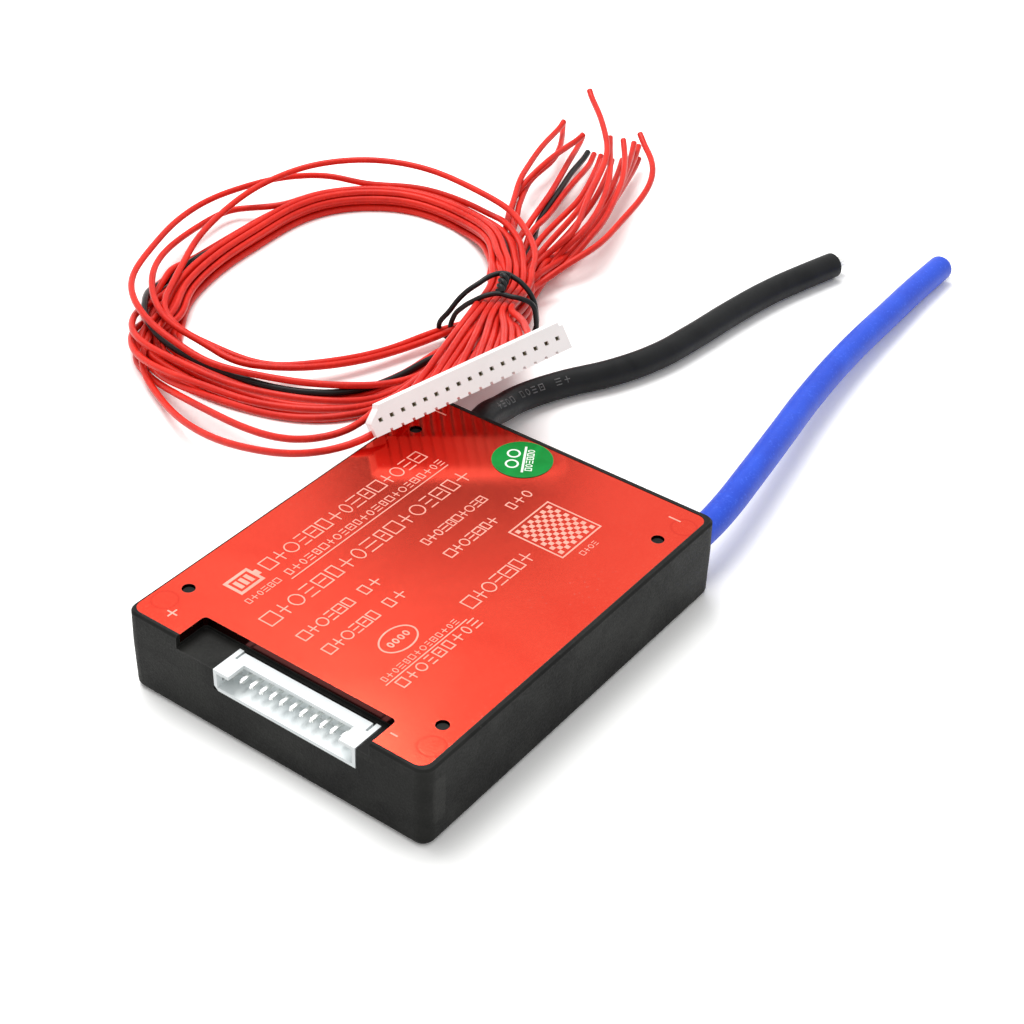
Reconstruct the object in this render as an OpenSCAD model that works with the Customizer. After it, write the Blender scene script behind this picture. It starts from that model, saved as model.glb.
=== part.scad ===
// Battery management board in an over-moulded case, with its sense harness.
// Millimetres. X runs from the socket's end (-X) to the cables' end (+X), Y across, Z up.
// The origin is the centre of the case's underside.

/* [Case] */
// Length of the case, from the socket's end to the cables' end
case_l = 80; // [78:0.5:100]
// Width of the case
case_w = 61.5; // [60:0.5:80]
// Height of the case
case_h = 15.6; // [15.4:0.1:20]
// Thickness of the side walls
wall = 2.4; // [2:0.1:2.8]
// Thickness of the floor
floor_t = 1.6; // [1:0.1:2.4]
// Radius of the case's upright corners
corner_r = 2.4; // [1.6:0.1:3]
// Radius that rounds the underside's edges
foot_r = 1.2; // [0.6:0.1:1.6]
// Width and height of the bevel round the rim
rim_bevel = 0.4; // [0.2:0.05:0.5]
// How far the walls lean in from the parting line to the rim and to the underside
draft = 0.12; // [0.04:0.02:0.2]
// Height of the parting line above the underside
parting_z = 9.3; // [8:0.1:10]
// Diameter of the pillars that carry the board
pillar_d = 4.4; // [3.6:0.1:5]
// Diameter of the pillars' necks, which show in the plate's holes
neck_d = 2; // [1.6:0.1:2.2]
// Depth of the necks' ends below the plate's face
neck_sink = 0.5; // [0.1:0.1:1]

/* [Heat plate] */
// Mean width of the case's rim at the plate's two ends
rim_end = 1.15; // [1:0.05:1.6]
// Mean width of the case's rim along the plate's two sides
rim_side = 0.95; // [0.8:0.05:1.4]
// Thickness of the plate
plate_t = 1.6; // [1.2:0.1:2]
// Radius of the plate's corners
plate_r = 2; // [1:0.1:3]
// Distance of the plate's face below the rim
plate_sink = 0.1; // [0:0.05:0.2]
// Offset of the plate from the case's centre along X
plate_dx = -0.1; // [-0.2:0.1:0]
// Offset of the plate from the case's centre along Y
plate_dy = 0.35; // [0:0.05:0.4]
// Diameter of the four holes in the plate and in the board
hole_d = 2.3; // [2.3:0.1:3]
// Mean distance of the holes' centres from the case's two ends
hole_end = 10.8; // [10:0.1:12]
// Mean distance of the holes' centres from the case's two sides
hole_side = 4.65; // [4.55:0.05:5.5]
// Offset of the holes from the case's centre along X
hole_cx = -0.55; // [-0.6:0.05:0.1]
// Offset of the holes from the case's centre along Y
hole_cy = 0.35; // [0:0.05:0.4]
// Radius of the inner corners of the plate's cut-out
notch_r = 0.8; // [0.4:0.1:1.2]

/* [Socket recess] */
// Depth of the recess, from the case's face to its back wall
recess_depth = 6.8; // [6.8:0.1:8]
// Length of the recess on the side of way 1, from the socket's centre
recess_left = 22.3; // [18:0.1:24]
// Length of the recess on the side of the last way, from the socket's centre
recess_right = 17; // [16:0.1:18]
// Thickness of the plastic round the recess
recess_wall = 1.4; // [1:0.1:2]
// Offset of the socket's centre from the case's centre along Y
socket_y = -2.8; // [-4:0.1:0]
// Clearance between the socket and the recess
socket_gap = 0.15; // [0.05:0.05:0.3]

/* [Socket] */
// Number of ways of the socket
ways = 13; // [9:1:13]
// Distance between the socket's ways
pitch = 2.05; // [2:0.05:2.1]
// Length of the housing past the outermost pins
socket_end = 2.1; // [1.8:0.1:2.3]
// Depth of the housing
socket_depth = 6.2; // [5.8:0.1:6.4]
// Height of the housing
socket_h = 4.1; // [3.8:0.1:4.4]
// Thickness of the housing's floor, roof and sides
socket_wall = 0.65; // [0.5:0.05:0.8]
// Thickness of the wall that holds the pins
pin_wall = 1.5; // [1.2:0.1:2]
// Depth of the cut-out in the roof
window_depth = 3.6; // [2.5:0.1:3.8]
// Width of each arm beside the cut-out
arm_w = 3.2; // [2.6:0.1:3.6]
// Width of each ear at the rear corners
ear_w = 0.9; // [0.6:0.1:1.2]
// Width of the slot between an ear and the roof
ear_slot = 0.45; // [0.3:0.05:0.6]
// Length of that slot
ear_slot_l = 2.2; // [1.5:0.1:2.5]
// Bevel on the lower corner beside way 1
key_bevel = 0.8; // [0.4:0.1:1.2]
// Side of the square pins
pin_t = 0.6; // [0.5:0.05:0.64]
// Height of the pins above the board
pin_z = 2.4; // [2:0.1:2.6]
// Distance of the pins' tips behind the housing's mouth
tip_back = 1.6; // [1:0.1:2.2]
// Clearance round a pin in its hole
pin_gap = 0.03; // [0.01:0.01:0.05]

/* [Board] */
// Thickness of the board
board_t = 1.6; // [1:0.1:2]
// Clearance between the board's edge and the case
board_gap = 0.2; // [0.1:0.05:0.4]
// Diameter of the holes for the pins' legs
leg_hole_d = 1; // [0.95:0.05:1.2]
// Length of the legs below the board
leg_out = 0.8; // [0.4:0.1:1.2]

/* [Power path] */
// Most transistors in each row, where the board is long enough
fets = 4; // [3:1:6]
// Distance between the transistors of a row
fet_pitch = 10.5; // [10.4:0.1:10.9]
// Width of a transistor's body
fet_w = 10; // [9.4:0.1:10.2]
// Length of a transistor's body, across the row
fet_l = 9; // [8.6:0.1:9.4]
// Height of a transistor
fet_h = 4.4; // [4.2:0.1:4.5]
// Length of a transistor's leads
lead_l = 3.2; // [3:0.1:3.4]
// Thickness of the thermal pads
pad_t = 0.3; // [0.2:0.05:0.5]
// Thickness of the copper bars
bar_t = 0.8; // [0.6:0.1:1.2]
// Width of the bar between the two rows
drain_bar_w = 4; // [3:0.1:5]
// Width of the bars at the leads
bar_w = 3.2; // [3:0.1:3.4]
// Number of current shunts
shunts = 4; // [2:1:5]
// Distance between the shunts
shunt_pitch = 4.4; // [4:0.1:4.8]
// Length of a shunt, across the gap that it bridges
shunt_l = 6.1; // [5.4:0.1:6.4]
// Gap that the shunts bridge
shunt_gap = 1.2; // [0.8:0.1:1.6]
// Length of the copper terminals at the cables
terminal_l = 6.2; // [5:0.1:6.4]
// Width of the copper terminals at the cables
terminal_w = 5.2; // [4.4:0.1:5.4]

/* [Sense circuit] */
// Most balance channels, where the board is wide enough
channels = 12; // [8:1:16]
// Distance between the balance channels
channel_pitch = 3.7; // [3.5:0.1:3.8]
// Length of a balance resistor
resistor_l = 6.3; // [5:0.1:6.4]
// Width of a balance resistor
resistor_w = 3.1; // [2.6:0.1:3.2]
// Length of a balance transistor
switch_l = 2.9; // [2.4:0.1:3]
// Width of a balance transistor
switch_w = 1.3; // [1.2:0.1:1.4]
// Side of the monitor chip's body
monitor_w = 7; // [6:0.1:7.2]
// Thickness of the chips
chip_h = 1.4; // [1:0.1:1.8]

/* [Power cables] */
// Outer diameter of the power cables
cable_d = 5.5; // [5:0.1:5.6]
// Diameter of the cables' stranded cores
core_d = 3; // [2.6:0.1:3.2]
// Length of bare core inside the case
core_in = 5.4; // [4:0.1:5.6]
// Length of bare core at the cables' far ends
core_out = 2.6; // [1:0.1:4]
// Distance of the load cable's centre from the side of the case next to it
load_side = 5.75; // [5.55:0.05:5.95]
// Distance of the pack cable's centre from the side of the case next to it
pack_side = 5.35; // [5.3:0.05:5.55]
// Clearance between a cable and its outlet
outlet_gap = 0.1; // [0.05:0.05:0.2]

/* [Sticker] */
// Diameter of the inspection sticker
sticker_d = 11; // [8:0.5:11.5]
// Thickness of the sticker
sticker_t = 0.12; // [0.08:0.02:0.2]
// Distance of the sticker's edge from the plate's end
sticker_end = 0.25; // [0.2:0.05:10]
// Offset of the sticker from the case's centre line
sticker_y = 5.8; // [-12:0.1:12]

/* [Plug] */
// Number of ways of the harness plug
plug_ways = 17; // [13:1:17]
// Distance between the plug's ways
plug_pitch = 2.2; // [2.1:0.05:2.25]
// Length of the plug past its outermost ways
plug_end = 1.9; // [1.6:0.1:2.2]
// Thickness of the plug
plug_t = 5.2; // [4.8:0.1:5.4]
// Depth of the plug, from its mating face to the wires
plug_depth = 6.4; // [6:0.1:6.8]
// Side of the openings in the mating face
eye_w = 0.75; // [0.6:0.05:0.9]
// Side of the chambers that hold the contacts
chamber_w = 1.6; // [1.5:0.05:1.7]
// Side of the contacts
contact_w = 1.2; // [1:0.05:1.3]
// Thickness of the mating face
face_t = 1; // [0.8:0.1:1.4]
// Width and depth of the notches between the plug's ribs
rib_notch = 0.5; // [0.3:0.05:0.7]

/* [Harness] */
// Outer diameter of a sense wire
wire_d = 1.4; // [1.2:0.1:1.5]
// Half of the coil's length, to the middle of its strands
coil_a = 46; // [44:0.5:48]
// Half of the coil's width, to the middle of its strands
coil_b = 38; // [36:0.5:40]
// Width of the bundle in the coil
coil_w = 9; // [8:0.5:10]
// Height of the bundle in the coil
coil_h = 4.6; // [4:0.2:5]
// Radius of the coil's tighter ends
coil_end_r = 30; // [28:0.5:32]
// Width of the plug's wires where the tie holds them
bundle_w = 9.6; // [9.5:0.1:10]
// Height of the plug's wires where the tie holds them
bundle_h = 4.5; // [4.5:0.1:5]
// Thickness of the tie's wire
tie_t = 1; // [0.8:0.1:1.4]
// Width of the tie
tie_w = 2; // [1.4:0.1:3]

/* [Hidden] */
$fn = 48;
over = 1;                      // how far a cut runs past the face it opens
seat = 0.05;                   // clearance between parts that are seated
touch = 0.01;                  // clearance between slanted faces that meet

// Heights, from the rim down
plate_z = case_h - plate_sink - plate_t;
board_top = plate_z - pad_t - fet_h;
board_z = board_top - board_t;
cable_z = board_top - core_d / 2;

// The plate and the holes, from the case's sides
plate_l = case_l - 2 * rim_end;
plate_w = case_w - 2 * rim_side;
hole_dx = case_l - 2 * hole_end;
hole_dy = case_w - 2 * hole_side;
load_y = case_w / 2 - load_side;
pack_y = pack_side - case_w / 2;

// The socket and its recess
face_x = -case_l / 2;
recess_x = face_x + recess_depth;
socket_w = (ways - 1) * pitch + 2 * socket_end;
ledge_z = board_top + socket_h - 0.1;
pin_x = face_x + socket_depth - pin_wall / 2;
recess_y0 = socket_y - recess_right;
recess_y1 = socket_y + recess_left;

// The board
board_l = case_l - 2 * wall - 2 * board_gap;
board_w = case_w - 2 * wall - 2 * board_gap;

// The sense circuit, from the socket's recess inwards
lead_out = 0.9;                // reach of the chips' leads
sense_x = recess_x + recess_wall + 1.25 + resistor_l / 2;
switch_x = sense_x + resistor_l / 2 + 2.85;
filter_x = switch_x + switch_w / 2 + 1.95;
chip_x = filter_x + 0.7 + monitor_w / 2 + lead_out;
channel_n = min(channels,
    floor((hole_dy - 2 * abs(hole_cy) - pillar_d - 0.4) / channel_pitch));

// The power path, measured from the board's centre line
body_y = drain_bar_w / 2 + 0.8;
source_y = body_y + fet_l + 1.6;
shunt_y = body_y + fet_l + lead_l + 0.2;
strip_y = source_y + bar_w + shunt_gap;
fet_x0 = chip_x + monitor_w / 2 + lead_out + 0.7 + fet_w / 2;
fet_n = min(fets, 1 + floor((board_l / 2 - 0.5 - fet_w / 2 - fet_x0) / fet_pitch));
row_l = (fet_n - 1) * fet_pitch + fet_w;
row_cx = fet_x0 + (row_l - fet_w) / 2;
shunt_x = fet_x0 + fet_pitch / 2;
terminal_x = board_l / 2 - terminal_l - 0.2;

// The load cable lies along the floor from its first bend
load_points = [
    [45, 25.2, 7.7], [50, 26.6, 7], [56.5, 28, 4.8], [64, 28.6, 3.2], [73, 25.8, 2.8],
    [84, 20, 2.8], [94, 16.6, 2.8], [105, 15, 2.8], [118, 13.8, 2.8], [131, 12, 2.8],
    [142, 9.4, 2.8], [150, 7.2, 2.8]
];

// The pack cable keeps off the floor and comes down to it at its end
pack_points = [
    [45, -25.4, 7.7], [52, -24.9, 7.7], [64.5, -23, 7.4], [80, -20.2, 6.6],
    [97.5, -17, 5.6], [117.5, -14.4, 4.6], [139, -12.8, 3.6], [152, -12, 3.1],
    [164, -11.7, 2.8]
];

// Where the harness lies: the coil's centre and heading, and the plug
coil_at = [70, 83];
coil_turn = 33;
coil_lift = tie_t + 0.4;
plug_at = [35.2, 19.4, 25.9];
plug_turn = [56.5, -14.7, -29];

// The tie's loose loop, from the knot over the bundle to its foot inside the coil
tie_points = [[84.5, 51.5, 13.2], [80.5, 53, 12.6], [77, 54.6, 9.6], [74.4, 55.8, 6], [73.4, 56.2, 2.6]];

// The wires' free ends, from the tie: three layers, each from right to left
tail_points = [
    [[119, 54.5, 7], [164.5, 69, 3]], [[117.5, 56.5, 7], [161.5, 71, 5]],
    [[117, 59, 7], [162.5, 74.5, 4]], [[115.5, 61.5, 7], [161, 78, 3.5]],
    [[114.5, 63.5, 7], [159.5, 79.5, 3]], [[116, 68.5, 7], [167, 91.5, 4]],
    [[119, 55, 8.5], [164.5, 68.5, 6]], [[117, 56.5, 9], [162, 68.5, 8]],
    [[116, 60.5, 8.5], [161, 77, 6]], [[114, 62.5, 9], [158, 80, 8]],
    [[115.5, 65.5, 8.5], [164, 84.5, 4]], [[116.5, 53, 12.5], [157, 64.5, 14]],
    [[116, 55.5, 11.5], [157, 68.5, 11]], [[113.5, 57.5, 12], [153.5, 70, 12]],
    [[114, 60, 11], [157, 73.5, 9]], [[115.5, 64, 13.5], [163, 82.5, 17]],
    [[114.5, 67.5, 10], [162.5, 89, 7]]
];

// ---- shared shapes ----

// A block with rounded upright corners, standing on z = 0
module rounded_block(l, w, h, r) {
    for (x = [-1, 1], y = [-1, 1])
        translate([x * (l / 2 - r), y * (w / 2 - r), 0]) cylinder(r = r, h = h);
    translate([-l / 2 + r, -w / 2, 0]) cube([l - 2 * r, w, h]);
    translate([-l / 2, -w / 2 + r, 0]) cube([l, w - 2 * r, h]);
}

// A box centred on x and y, standing on z = 0
module post(l, w, h) {
    translate([-l / 2, -w / 2, 0]) cube([l, w, h]);
}

// Places one copy at each way of a row of n ways
module each_way(n, step) {
    for (i = [0 : n - 1]) translate([0, (i - (n - 1) / 2) * step, 0]) children();
}

// Places one copy at each of the four holes
module each_hole() {
    for (x = [-1, 1], y = [-1, 1])
        translate([hole_cx + x * hole_dx / 2, hole_cy + y * hole_dy / 2, 0]) children();
}

// The rings of a round tube swept along points, and the tube itself
function unit(v) = v / norm(v);
function heading(p, i) = unit(p[min(i + 1, len(p) - 1)] - p[max(i - 1, 0)]);
function side_of(t) = unit(cross(abs(t[2]) < 0.9 ? [0, 0, 1] : [1, 0, 0], t));
function ring(p, i, r, n) =
    let (t = heading(p, i), s = side_of(t), u = cross(t, s))
    [for (k = [0 : n - 1]) p[i] + r * (s * cos(360 * k / n) + u * sin(360 * k / n))];

module tube(p, d, n) {
    m = len(p);
    points = [for (i = [0 : m - 1]) each ring(p, i, d / 2, n)];
    sides = [for (i = [0 : m - 2], k = [0 : n - 1])
        [i * n + k, (i + 1) * n + k, (i + 1) * n + (k + 1) % n, i * n + (k + 1) % n]];
    first = [for (k = [0 : n - 1]) k];
    last = [for (k = [n - 1 : -1 : 0]) (m - 1) * n + k];
    polyhedron(points, concat([first, last], sides), convexity = 4);
}

// ---- case ----

// Half section of the case's edge: x is 0 at the corner's axis and corner_r at the parting line
module edge_section() {
    polygon(concat(
        [[-over, 0], [corner_r - draft - foot_r, 0]],
        [for (a = [-75 : 15 : 0])
            [corner_r - draft - foot_r + foot_r * cos(a), foot_r + foot_r * sin(a)]],
        [[corner_r, parting_z], [corner_r - draft, case_h - rim_bevel],
         [corner_r - draft - rim_bevel, case_h], [-over, case_h]]
    ));
}

// Quarter of the same section turned about the corner's axis
module corner_section() {
    intersection() {
        edge_section();
        square([corner_r, case_h]);
    }
}

module case_block() {
    sx = case_l / 2 - corner_r;
    sy = case_w / 2 - corner_r;
    for (q = [[1, 1, 0], [-1, 1, 90], [-1, -1, 180], [1, -1, 270]])
        translate([q[0] * sx, q[1] * sy, 0]) rotate([0, 0, q[2]])
            rotate_extrude(angle = 90) corner_section();
    for (s = [0, 180]) {
        rotate([0, 0, s]) translate([sx, sy, 0]) rotate([90, 0, 0])
            linear_extrude(2 * sy) edge_section();
        rotate([0, 0, s + 90]) translate([sy, sx, 0]) rotate([90, 0, 0])
            linear_extrude(2 * sx) edge_section();
    }
    translate([-sx, -sy, 0]) cube([2 * sx, 2 * sy, case_h]);
}

// The cut-out's outline, shared by the plate and the recess above the socket
module recess_cut(z0, z1) {
    translate([face_x - over, recess_y0, z0])
        cube([recess_depth + over - notch_r, recess_y1 - recess_y0, z1 - z0]);
    translate([face_x - over, recess_y0 + notch_r, z0])
        cube([recess_depth + over, recess_y1 - recess_y0 - 2 * notch_r, z1 - z0]);
    for (y = [recess_y0 + notch_r, recess_y1 - notch_r])
        translate([recess_x - notch_r, y, z0]) cylinder(r = notch_r, h = z1 - z0);
}

module outlet(y) {
    translate([case_l / 2 - wall - over, y, cable_z]) rotate([0, 90, 0])
        cylinder(d = cable_d + 2 * outlet_gap, h = wall + 2 * over);
}

module case() {
    color([0.11, 0.11, 0.115]) difference() {
        union() {
            difference() {
                case_block();
                translate([0, 0, floor_t])
                    rounded_block(case_l - 2 * wall, case_w - 2 * wall, case_h, 1);
                translate([plate_dx, plate_dy, plate_z])
                    rounded_block(plate_l + 2 * seat, plate_w + 2 * seat, case_h, plate_r + seat);
            }
            translate([face_x + wall / 2, recess_y0 - recess_wall, board_top + seat])
                cube([recess_depth + recess_wall - wall / 2,
                    recess_y1 - recess_y0 + 2 * recess_wall, plate_z - board_top - seat]);
            translate([face_x + 0.5, recess_y0 - seat, plate_z - over])
                cube([1, recess_y1 - recess_y0 + 2 * seat, over]);
            each_hole() {
                translate([0, 0, floor_t / 2]) cylinder(d = pillar_d, h = board_z - floor_t / 2);
                cylinder(d = neck_d, h = case_h - plate_sink - neck_sink);
            }
        }
        recess_cut(ledge_z, case_h + over);
        translate([face_x - over, socket_y - socket_w / 2 - socket_gap, board_top])
            cube([socket_depth + over + socket_gap, socket_w + 2 * socket_gap, case_h]);
        outlet(load_y);
        outlet(pack_y);
    }
}

// ---- heat plate and its pads ----

module heat_plate() {
    color([0.86, 0.12, 0.07]) difference() {
        translate([plate_dx, plate_dy, plate_z]) rounded_block(plate_l, plate_w, plate_t, plate_r);
        recess_cut(plate_z - over, case_h + over);
        each_hole() translate([0, 0, plate_z - over]) cylinder(d = hole_d, h = plate_t + 2 * over);
    }
}

module thermal_pads() {
    color([0.62, 0.66, 0.72]) for (s = [-1, 1])
        translate([row_cx, s * (body_y + fet_l / 2), plate_z - pad_t]) post(row_l, fet_l, pad_t);
}

// ---- board ----

module core_notch(y) {
    translate([board_l / 2 - core_in - seat, y - core_d / 2 - 0.3, board_z - over])
        cube([core_in + over, core_d + 0.6, board_t + 2 * over]);
}

module circuit_board() {
    color([0.05, 0.26, 0.16]) difference() {
        translate([0, 0, board_z]) rounded_block(board_l, board_w, board_t, 1);
        each_hole() translate([0, 0, board_z - over]) cylinder(d = hole_d, h = board_t + 2 * over);
        translate([pin_x, socket_y, board_z - over])
            each_way(ways, pitch) cylinder(d = leg_hole_d, h = board_t + 2 * over);
        core_notch(load_y);
        core_notch(pack_y);
    }
}

// ---- power path ----

// One transistor: moulded body, drain tab towards -Y, two leads towards +Y
module transistor() {
    difference() {
        post(fet_w, fet_l, fet_h);
        translate([-fet_w / 2 - over, fet_l / 2 - 0.6, fet_h]) rotate([45, 0, 0])
            cube([fet_w + 2 * over, 2, 2]);
    }
    translate([0, -fet_l / 2 - 0.35, 0]) post(fet_w - 1, 0.9, 1.3);
    for (x = [-2.54, 2.54]) {
        translate([x, fet_l / 2 + 0.7, 1.2]) post(0.9, 1.6, 0.6);
        translate([x, fet_l / 2 + 1.5, 0.9]) post(0.9, 0.6, 0.9);
        translate([x - 0.45, fet_l / 2 + 1.4, bar_t]) cube([0.9, lead_l - 1.4, 0.5]);
    }
}

module transistor_row() {
    for (i = [0 : fet_n - 1])
        translate([fet_x0 + i * fet_pitch, body_y + fet_l / 2, board_top]) transistor();
}

module discharge_transistors() {
    color([0.16, 0.16, 0.17]) mirror([0, 1, 0]) transistor_row();
}

module charge_transistors() {
    color([0.16, 0.16, 0.17]) transistor_row();
}

module drain_bar() {
    color([0.76, 0.42, 0.22])
        translate([row_cx, 0, board_top]) post(row_l, drain_bar_w - 0.4, bar_t);
}

// The bar that the leads of one row are soldered to
module source_bar() {
    translate([fet_x0 - fet_w / 2, source_y, board_top]) cube([row_l, bar_w, bar_t]);
}

module pack_source_bar() {
    color([0.76, 0.42, 0.22]) mirror([0, 1, 0]) source_bar();
}

module load_source_bar() {
    color([0.76, 0.42, 0.22]) source_bar();
}

// The copper terminal over a cable's core, with the strip that leads to it from x0, y0
module terminal(y, x0, y0) {
    arm = 2.6;
    translate([terminal_x, y - terminal_w / 2, board_top]) cube([terminal_l, terminal_w, bar_t]);
    translate([terminal_x, y0, board_top]) cube([arm, y - y0, bar_t]);
    translate([x0, y0, board_top]) cube([terminal_x - x0 + arm, arm, bar_t]);
}

module pack_terminal() {
    color([0.76, 0.42, 0.22]) mirror([0, 1, 0]) {
        terminal(-pack_y, shunt_x - 3, strip_y);
        translate([shunt_x - 3, strip_y, board_top])
            cube([(shunts - 1) * shunt_pitch + 6, shunt_y + shunt_l - strip_y, bar_t]);
    }
}

module load_terminal() {
    color([0.76, 0.42, 0.22]) terminal(load_y, row_cx + row_l / 2 - 4.9, source_y + bar_w);
}

module current_shunts() {
    color([0.2, 0.2, 0.21]) for (i = [0 : shunts - 1])
        translate([shunt_x + i * shunt_pitch - 1.6, -shunt_y - shunt_l, board_top + bar_t])
            cube([3.2, shunt_l, 0.7]);
}

// ---- sense circuit ----

module balance_resistors() {
    color([0.13, 0.13, 0.14]) translate([sense_x, 0, board_top])
        each_way(channel_n, channel_pitch) {
            post(resistor_l, resistor_w, 0.5);
            for (s = [-1, 1]) translate([s * (resistor_l / 2 - 0.35), 0, 0])
                post(0.8, resistor_w + 0.04, 0.56);
        }
}

module balance_transistors() {
    color([0.12, 0.12, 0.13]) translate([switch_x, 0, board_top])
        each_way(channel_n, channel_pitch) {
            translate([0, 0, 0.1]) post(switch_w, switch_l, 1);
            for (s = [-1, 1]) translate([-switch_w / 2 - 0.3, s * (switch_l / 2 - 0.5), 0])
                post(0.9, 0.4, 0.2);
            translate([switch_w / 2 + 0.3, 0, 0]) post(0.9, 0.4, 0.2);
        }
}

module filter_capacitors() {
    color([0.72, 0.6, 0.42]) translate([filter_x, 0, board_top])
        each_way(channel_n, channel_pitch) post(0.8, 1.6, 0.8);
}

// A chip with leads on the sides that are asked for
module chip(l, w, h, n, step, four) {
    translate([0, 0, 0.1]) post(l, w, h - 0.1);
    for (turn = four ? [0, 90, 180, 270] : [0, 180]) rotate([0, 0, turn])
        translate([((turn % 180 == 0 ? l : w) + lead_out) / 2, 0, 0])
            each_way(n, step) {
                post(lead_out, step * 0.45, 0.2);
                translate([-0.35, 0, 0]) post(0.2, step * 0.45, h / 2);
                translate([-0.5, 0, h / 2 - 0.2]) post(0.4, step * 0.45, 0.2);
            }
}

module monitor_chip() {
    color([0.1, 0.1, 0.11]) translate([chip_x, 9, board_top])
        chip(monitor_w, monitor_w, chip_h, 8, 0.75, true);
}

module driver_chip() {
    color([0.1, 0.1, 0.11]) translate([chip_x, -9, board_top])
        chip(3.9, 4.9, chip_h, 4, 1.27, false);
}

// A glass bead with two leads, lying across the board
module temperature_sensor() {
    color([0.75, 0.35, 0.15]) translate([chip_x, 0, board_top + 0.9]) rotate([90, 0, 0]) {
        translate([0, 0, -1.7]) cylinder(d = 1.7, h = 3.4);
        translate([0, 0, -3.2]) cylinder(d = 0.5, h = 6.4);
    }
    color([0.75, 0.75, 0.76]) for (y = [-3, 3])
        translate([chip_x, y, board_top]) cylinder(d = 0.6, h = 1);
}

// ---- socket ----

module socket_housing() {
    w = socket_w;
    color([0.93, 0.94, 0.93]) translate([face_x, socket_y, board_top]) difference() {
        translate([0, -w / 2, 0]) cube([socket_depth, w, socket_h]);
        // the space that the plug enters, open at the mouth
        translate([-over, -w / 2 + socket_wall, socket_wall])
            cube([socket_depth - pin_wall + over, w - 2 * socket_wall,
                socket_h - 2 * socket_wall]);
        // the cut-out in the roof, between the arms
        translate([-over, -w / 2 + arm_w, socket_h / 2])
            cube([window_depth + over, w - 2 * arm_w, socket_h]);
        // the roof ends a little ahead of the ears' tips
        translate([socket_depth - 0.3, -w / 2 + ear_w + ear_slot, socket_h - 1.2])
            cube([over, w - 2 * (ear_w + ear_slot), socket_h]);
        for (s = [-1, 1]) {
            // the slot beside each ear
            translate([socket_depth - ear_slot_l, s * (w / 2 - ear_w - ear_slot / 2), socket_h - 1.6])
                translate([0, -ear_slot / 2, 0]) cube([ear_slot_l + over, ear_slot, socket_h]);
            // a window low in each side
            translate([1.2, s * (w / 2 - socket_wall / 2), socket_wall + 0.6])
                translate([0, -socket_wall, 0]) cube([1.8, 2 * socket_wall, 1.2]);
        }
        // the bevelled lower corner beside way 1
        translate([-over, w / 2, -key_bevel]) rotate([45, 0, 0])
            cube([socket_depth - pin_wall + over, key_bevel * sqrt(2), key_bevel * sqrt(2)]);
        // the pins' holes: along the wall, then down through it
        each_way(ways, pitch) {
            translate([socket_depth - pin_wall - over, 0, pin_z - pin_t / 2 - pin_gap])
                translate([0, -pin_t / 2 - pin_gap, 0])
                    cube([over + pin_wall / 2 + pin_t / 2 + pin_gap, pin_t + 2 * pin_gap,
                        pin_t + 2 * pin_gap]);
            translate([socket_depth - pin_wall / 2, 0, -over])
                post(pin_t + 2 * pin_gap, pin_t + 2 * pin_gap, over + pin_z);
        }
    }
}

module socket_pins() {
    tip = 0.35;
    color([0.86, 0.86, 0.84]) translate([face_x, socket_y, board_top])
        each_way(ways, pitch) {
            translate([tip_back + tip, -pin_t / 2, pin_z - pin_t / 2])
                cube([socket_depth - pin_wall / 2 + pin_t / 2 - tip_back - tip, pin_t, pin_t]);
            translate([tip_back, -pin_t / 4, pin_z - pin_t / 4]) cube([tip + 0.1, pin_t / 2, pin_t / 2]);
            translate([socket_depth - pin_wall / 2, 0, -board_t - leg_out])
                post(pin_t, pin_t, board_t + leg_out + pin_z);
        }
}

// ---- power cables ----

// The cable's jacket: straight through the outlet, then along its points
module jacket(y, points) {
    start = [[board_l / 2 + seat, y, cable_z], [case_l / 2, y, cable_z]];
    tube(concat(start, points), cable_d, 12);
}

// The bare core: soldered under its terminal inside, and cut off clean outside
module bare_core(y, points) {
    n = len(points);
    aim = unit(points[n - 1] - points[n - 2]);
    translate([board_l / 2 - core_in, y, cable_z]) rotate([0, 90, 0])
        cylinder(d = core_d, h = core_in + seat);
    translate(points[n - 1] + touch * aim) rotate([0, acos(aim[2]), atan2(aim[1], aim[0])])
        cylinder(d = core_d, h = core_out);
}

// The solder that fills the notch under the terminal, round the core
module solder_joint(y) {
    difference() {
        translate([board_l / 2 - core_in, y - core_d / 2 - 0.2, board_z + 0.1])
            cube([core_in - 0.6, core_d + 0.4, board_t - 0.1]);
        translate([board_l / 2 - core_in - over, y, cable_z]) rotate([0, 90, 0])
            cylinder(d = core_d, h = core_in + over);
    }
}

module pack_core() { color([0.82, 0.82, 0.8]) bare_core(pack_y, pack_points); }
module pack_cable() { color([0.16, 0.3, 0.82]) jacket(pack_y, pack_points); }
module pack_solder() { color([0.7, 0.71, 0.73]) solder_joint(pack_y); }
module load_core() { color([0.82, 0.82, 0.8]) bare_core(load_y, load_points); }
module load_cable() { color([0.09, 0.09, 0.09]) jacket(load_y, load_points); }
module load_solder() { color([0.7, 0.71, 0.73]) solder_joint(load_y); }

// ---- sticker ----

module inspection_sticker() {
    x = plate_dx + plate_l / 2 - sticker_end - sticker_d / 2;
    color([0.05, 0.55, 0.25]) translate([x, sticker_y, plate_z + plate_t])
        cylinder(d = sticker_d, h = sticker_t);
}

// ---- harness ----

plug_l = (plug_ways - 1) * plug_pitch + 2 * plug_end;

// The plug's own frame: x along its ways, z out of its mating face
module at_plug() {
    translate(plug_at) rotate(plug_turn) children();
}

module each_plug_way(count) {
    for (i = [0 : count - 1]) translate([(i - (count - 1) / 2) * plug_pitch, 0, 0]) children();
}

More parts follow.
